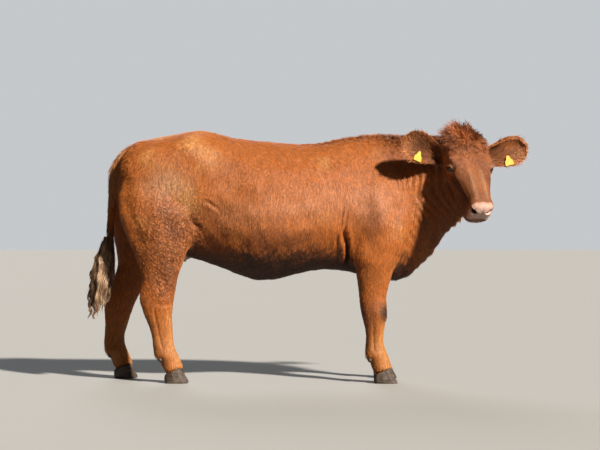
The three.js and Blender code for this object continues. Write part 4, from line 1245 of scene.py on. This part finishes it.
def growSwitch():      # wavy locks of many strands round the end of the tail, and loose hairs
    chance = np.random.default_rng(81)
    s = switchMake
    grid, line = np.linspace(0, 1, len(s["line"])), np.array(s["line"])
    locks = s["locks"] + s["loose"]      # a loose hair is a lock of one
    lock = np.concatenate([np.repeat(np.arange(s["locks"]), s["strands"]), np.arange(s["locks"], locks)])
    count = len(lock)
    angle = chance.permutation(np.linspace(0, wholeTurn, locks)) + chance.normal(0, 0.2, locks)
    radius = np.sqrt(chance.uniform(0.25, 1.0, locks)) * 0.92
    start = chance.random(locks) ** 1.1 * 0.52
    end = np.clip(start + chance.uniform(0.36, 0.60, locks), 0, 1.0)
    phase, turn = chance.uniform(0, wholeTurn, locks), chance.uniform(0, wholeTurn, locks)
    tempo, wave = chance.uniform(3.6, 5.6, locks), 0.0105 * chance.uniform(0.55, 1.5, locks)
    flare = chance.normal(0, 0.010, (locks, 2))
    own = chance.normal(0, 1, (count, 2)) * 0.0052
    late = chance.normal(0, 0.028, count)
    width = np.where(lock < s["locks"], s["width"], s["looseWidth"]) * chance.uniform(0.7, 1.3, count)
    a, b = (np.cos(angle) * radius)[lock], (np.sin(angle) * radius)[lock]
    rings, centres, halves = s["rings"], [], []
    for k in range(rings):
        f = k / (rings - 1)
        along = np.clip(start[lock] + (end - start)[lock] * f + late * f, 0, 1.02)
        bundle = np.interp(f, [0, 0.3, 0.75, 1], [0.6, 1.0, 0.75, 0.15])
        sway = (wave[lock] * np.sin(phase[lock] + along * tempo[lock] * wholeTurn)) * ease(0, 0.25, f)
        x = np.interp(along, grid, line[:, 0]) + a * np.interp(along, grid, s["halfX"])
        y = midline + b * np.interp(along, grid, s["halfY"])
        x = x + sway * np.cos(turn[lock]) + own[:, 0] * bundle + flare[lock, 0] * f ** 3
        y = y + sway * np.sin(turn[lock]) + own[:, 1] * bundle + flare[lock, 1] * f ** 3
        centres.append(np.stack([x, y, np.interp(along, grid, line[:, 1])], 1))
        halves.append(width * 0.5 * (1 - f) ** 0.5 * (0.55 + 0.45 * ease(0, 0.2, f)))
    facing = np.arctan2(b, a)
    sideways = np.stack([np.cos(facing + 1.57), np.sin(facing + 1.57), facing * 0], 1)
    outward = np.stack([np.cos(facing), np.sin(facing), facing * 0 + 0.1], 1)
    flip = np.where(np.cross(sideways, outward)[:, 2] < 0, 1, -1)[:, None]
    uv = np.stack([0.5 + 0.3 * a, 0.5 + 0.3 * b], 1) + own * 2
    none = np.zeros(count)
    shade = 0.52 + chance.normal(0, 0.20, locks)[lock] + chance.normal(0, 0.09, count)
    return bladeMesh("switch_hair", np.stack(centres, 1), np.stack(halves, 1), sideways * flip,
                     outward * 0.7, uv, [none] * 6, shade)


def switchLook():
    look = Look("switch hair", **{"Specular IOR Level": 0.35, "Sheen Weight": 0.1, "Sheen Roughness": 0.4})
    vary, along, _, _ = look.painted("hairs")
    streaks = look.noise(0.004, 3.0, scale=(1, 1, 0.10))
    waves = look.noise(0.045, 2.0, scale=(1, 1, 0.45))
    mixed = look.step(vary * 0.9 + streaks * 0.35 + waves * 0.5 - 0.38, 0.05, 0.85)
    colour = look.blend(mixed, (0.17, 0.075, 0.032, 1), (0.60, 0.385, 0.225, 1))
    colour = look.blend(look.step(along, 0.75, 1.0) * 0.35, colour, (0.22, 0.10, 0.045, 1))
    return look.finish(colour, 0.52 - along * 0.05)


poll = addHair(growPoll(), "poll_hair")
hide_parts("poll_tuft")
addHair(growFringe(), "forelock")
for side in ("right", "left"):
    for mesh in (growInnerHair(side), growRimHair(side)):
        addHair(mesh, mesh.name)
tailHair = addHair(growSwitch(), "switch_hair", switchLook())
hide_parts("tail_switch")
print("long hair made")

lashMake = {"count": 54, "length": (0.007, 0.012), "width": 0.0007}
whiskerMake = {"density": 2600, "length": 0.022, "width": 0.0008, "lift": 50}


def growLashes(side):
    chance = np.random.default_rng(91 + side)
    out, along, up = eyeAxes(side)
    count = lashMake["count"]
    u = chance.uniform(-0.80, 0.80, count)
    v = lidEdges(u)[0] + chance.uniform(0.02, 0.12, count)
    a = np.sqrt(np.clip(1 - u * u - v * v, 0.02, 1))
    local = (out * a[:, None] + along * u[:, None] + up * v[:, None]) * (eyePose["radius"] + 2.6)
    p = fromHead(eyePlaceOf(side) + local)
    aim = unit(out * 0.8 + up * 0.75 + along * u[:, None] * 0.6) @ headTurn.T
    n = unit(np.cross(aim, np.cross(headTurn @ up, aim)))
    none = np.zeros(count)
    r = {"p": p, "n": n, "t": aim, "length": chance.uniform(*lashMake["length"], count),
         "width": none + lashMake["width"], "lift": none - 0.2, "pull": np.zeros((count, 3)), "crimp": none,
         "shade": none + 0.1, "uv": np.full((count, 2), 0.5)}
    return tuftMesh("lashes", r, 3, (none, none, none + 0.9, none + 1.0, none, none), sink=0)


for side, name in ((-1, "right_lashes"), (1, "left_lashes")):
    addHair(growLashes(side), name)


def growWhiskers():
    h = toHead(faceMiddle)
    mask = isKind(faceKind, "head") * ease(385, 420, h[:, 0]) * ease(-95, -120, h[:, 2])
    roots = scatter(whiskerMake["density"] * mask, 95)
    restingHair(roots, whiskerMake["length"], whiskerMake["width"], whiskerMake["lift"], 96)
    roots["t"] = lieAt(roots["p"], roots["n"], roots["kind"])
    none = np.zeros(len(roots["p"]))
    return tuftMesh("whiskers", roots, 3, [none] * 5 + [none + 0.8])


addHair(growWhiskers(), "whiskers")

hoofMake = {"voxel": 0.0028, "rounds": 5, "ring": 0.0007, "ringSpacing": 0.009}


def makeHooves(leg):
    names = [f"{leg}_{part}" for part in ("hoof_inner", "hoof_outer", "dewclaw_inner", "dewclaw_outer")]
    horns = []
    for name in names:
        ob = gathered([welded(name)], name + "_horn")
        ob = applied(ob, "REMESH", mode="VOXEL", voxel_size=hoofMake["voxel"])
        points = smoothed(ob.data, verticesOf(ob.data), hoofMake["rounds"], 0.5)
        low = points[:, 2].min()
        if name.startswith(leg + "_hoof"):      # flat on the ground, with faint rings of growth
            middle = points[:, :2].mean(0)
            away = unit(np.concatenate([points[:, :2] - middle, points[:, 2:] * 0], 1))
            height = points[:, 2] + 0.25 * (points[:, 0] - middle[0])
            growth = hoofMake["ring"] * np.cos(height * 2 * math.pi / hoofMake["ringSpacing"])
            points = points + away * (growth * ease(0.006, 0.02, points[:, 2]))[:, None]
            points[:, 2] = np.where(points[:, 2] < low + 0.0016, 0.0, points[:, 2])
        moveTo(ob.data, points)
        horns.append(ob.data)
        bpy.data.objects.remove(ob)
    ob = gathered(horns, leg + "_hooves")
    ob.data.polygons.foreach_set("use_smooth", [True] * len(ob.data.polygons))
    ob.data.materials.append(hornLook)
    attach(ob, "root")
    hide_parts(*names)


def makeHornLook():
    look = Look("horn", **{"Specular IOR Level": 0.4})
    rings = look.noise(0.006, 3.0, scale=(0.15, 0.15, 1))
    grain = look.noise(0.0018, 3.0, scale=(1, 1, 0.15))
    mud = look.step(look.noise(0.03, 4.0), 0.45, 0.75)
    colour = look.blend(look.step(rings, 0.3, 0.7), (0.045, 0.030, 0.022, 1), (0.12, 0.080, 0.055, 1))
    colour = look.blend(mud * 0.45, colour, (0.20, 0.150, 0.105, 1))
    return look.finish(colour, 0.42 + mud * 0.3, rings * 0.6 + grain * 0.3, 0.0012, 0.7)


hornLook = makeHornLook()
for leg in legNames:
    makeHooves(leg)
print("hooves made")

tagMake = {"rounding": 0.0006, "sharp": 0.9}


def makeTagLook():
    look = Look("ear tag", **{"Specular IOR Level": 0.5, "Subsurface Weight": 0.05})
    worn = look.noise(0.018, 4.0)
    scuffs = look.step(look.noise(0.003, 3.0, scale=(1, 1, 0.2)), 0.55, 0.75)
    colour = look.blend(look.step(worn, 0.35, 0.7), (0.83, 0.60, 0.085, 1), (0.74, 0.50, 0.060, 1))
    colour = look.blend(scuffs * 0.35, colour, (0.86, 0.70, 0.30, 1))
    return look.finish(colour, 0.38 + worn * 0.22, scuffs, 0.0004, 0.4)


tagLook = makeTagLook()
for side in ("left", "right"):
    for part in ("flag", "button"):
        name = f"{side}_tag_{part}"
        bm = bmesh.new()
        bm.from_mesh(nodes[name].data)
        bmesh.ops.remove_doubles(bm, verts=bm.verts, dist=2e-5)
        bmesh.ops.dissolve_limit(bm, angle_limit=0.02, verts=bm.verts, edges=bm.edges)
        sharp = [e for e in bm.edges if e.is_manifold and e.calc_face_angle() > tagMake["sharp"]]
        bmesh.ops.bevel(bm, geom=sharp, offset=tagMake["rounding"], offset_type="OFFSET", segments=2,
                        profile=0.5, affect="EDGES", clamp_overlap=True, material=-1)
        bmesh.ops.triangulate(bm, faces=bm.faces)
        ob = objectOf(meshOf(bm, name + "_moulded"), name + "_moulded")
        ob.data.materials.append(tagLook)
        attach(ob, "root")
        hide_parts(name)
print("tags made")

eyeMake = {"segments": 48, "rings": 32, "bulge": 0.0020}


def makeEye(side, name):
    out, along, up = eyeAxes(side)
    bm = bmesh.new()
    bmesh.ops.create_uvsphere(bm, u_segments=eyeMake["segments"], v_segments=eyeMake["rings"],
                              radius=eyePose["radius"] / 1000)
    for v in bm.verts:      # the clear front stands out a little
        front = max(0.0, v.co.normalized().z - 0.72) / 0.28
        v.co += v.co.normalized() * eyeMake["bulge"] * front ** 1.5
    turn = Matrix((headTurn @ along, headTurn @ up, headTurn @ out)).transposed()
    if turn.determinant() < 0:
        turn = Matrix((headTurn @ -along, headTurn @ up, headTurn @ out)).transposed()
    centre = Vector(fromHead(eyePlaceOf(side)))
    bmesh.ops.transform(bm, matrix=Matrix.Translation(centre) @ turn.to_4x4(), verts=bm.verts)
    bmesh.ops.recalc_face_normals(bm, faces=bm.faces)
    ob = objectOf(meshOf(bm, name), name)
    ob.data.polygons.foreach_set("use_smooth", [True] * len(ob.data.polygons))
    p = (verticesOf(ob.data) - np.array(centre)) @ headTurn
    size = eyePose["radius"] / 1000
    u, v, a = p @ along / size, p @ up / size, p @ out / size
    gaze = (u / 2 + 0.5, v / 2 + 0.5, a, u * 0 + 1)      # where on the eye: along, up, forwards
    paint(ob.data, "gaze", [np.clip(value, 0, 1) for value in gaze])
    ob.data.materials.append(eyeLook)
    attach(ob, "root")
    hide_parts("right_eye" if side < 0 else "left_eye")


def makeEyeLook():
    look = Look("eye", **{"Roughness": 0.10, "Specular IOR Level": 0.40, "Coat Weight": 0.20,
                          "Coat Roughness": 0.03})
    u, v, _, _ = look.painted("gaze")
    u, v = (u - 0.5) * 2, (v - 0.5) * 2
    iris = (u * u + v * v) ** 0.5
    pupil = ((u / 1.55) * (u / 1.55) + v * v * 1.4) ** 0.5
    fibres = look.noise(0.0016, 3.0)
    rim = look.step(iris + fibres * 0.08, 0.84, 0.95)
    colour = look.blend(rim, (0.022, 0.009, 0.005, 1), (0.060, 0.032, 0.024, 1))
    colour = look.blend(look.step(fibres, 0.35, 0.75) * 0.5, colour, (0.045, 0.018, 0.008, 1))
    colour = look.blend(look.step(pupil, 0.34, 0.27), colour, (0.003, 0.003, 0.004, 1))
    return look.finish(colour)


eyeLook = makeEyeLook()
for side, name in ((-1, "right_eyeball"), (1, "left_eyeball")):
    makeEye(side, name)
print("eyes made")

stageMake = {      # the suns: where from, strength, spread in degrees, colour
    "camera": (-0.0404, -8.920, 0.794), "lens": 102.06, "shift": 5 / 600,
    "floor": (0.42, 0.405, 0.375, 1), "worn": (0.46, 0.445, 0.415, 1), "bounce": (0.09, 0.087, 0.08, 1),
    "key": ((0.56, -0.62, 0.58), 6.5, 4, (1.0, 0.95, 0.88)),
    "rim": ((-0.15, 0.80, 0.45), 0.9, 25, (0.90, 0.94, 1.0)),
    "sky": ((0.80, 0.86, 0.95, 1), 0.07), "backdrop": ((0.56, 0.58, 0.60, 1), 1)}


def makeStage():
    bm = bmesh.new()
    bmesh.ops.create_circle(bm, cap_ends=True, segments=96, radius=60)
    floor = objectOf(meshOf(bm, "floor"), "floor")
    look = Look("floor", Roughness=0.9)
    colour = look.blend(look.noise(1.5, 4.0) * 0.25, stageMake["floor"], stageMake["worn"])
    bounced = Term(look, look.node("ShaderNodeLightPath").outputs["Is Diffuse Ray"])
    floor.data.materials.append(look.finish(look.blend(bounced, colour, stageMake["bounce"])))
    for name in ("key", "rim"):
        place, strength, spread, colour = stageMake[name]
        sun = bpy.data.lights.new(name, "SUN")
        sun.energy, sun.angle, sun.color = strength, math.radians(spread), colour
        objectOf(sun, name).rotation_euler = Vector(place).to_track_quat("Z", "Y").to_euler()
    world = bpy.data.worlds.new("studio")
    world.use_nodes = True
    tree = world.node_tree
    pick = tree.nodes.new("ShaderNodeMixShader")
    tree.links.new(tree.nodes.new("ShaderNodeLightPath").outputs["Is Camera Ray"], pick.inputs[0])
    for i, name in ((1, "sky"), (2, "backdrop")):
        made = tree.nodes["Background"] if name == "sky" else tree.nodes.new("ShaderNodeBackground")
        made.inputs["Color"].default_value, made.inputs["Strength"].default_value = stageMake[name]
        tree.links.new(made.outputs[0], pick.inputs[i])
    tree.links.new(pick.outputs[0], tree.nodes["World Output"].inputs[0])
    bpy.context.scene.world = world
    bpy.context.scene.view_settings.view_transform = "Standard"
    camera = bpy.data.cameras.new("camera")
    camera.lens, camera.sensor_width, camera.shift_y = stageMake["lens"], 36, stageMake["shift"]
    viewer = objectOf(camera, "camera")
    viewer.location, viewer.rotation_euler = stageMake["camera"], (math.pi / 2, 0, 0)
    bpy.context.scene.camera = viewer


makeStage()
print("stage made")
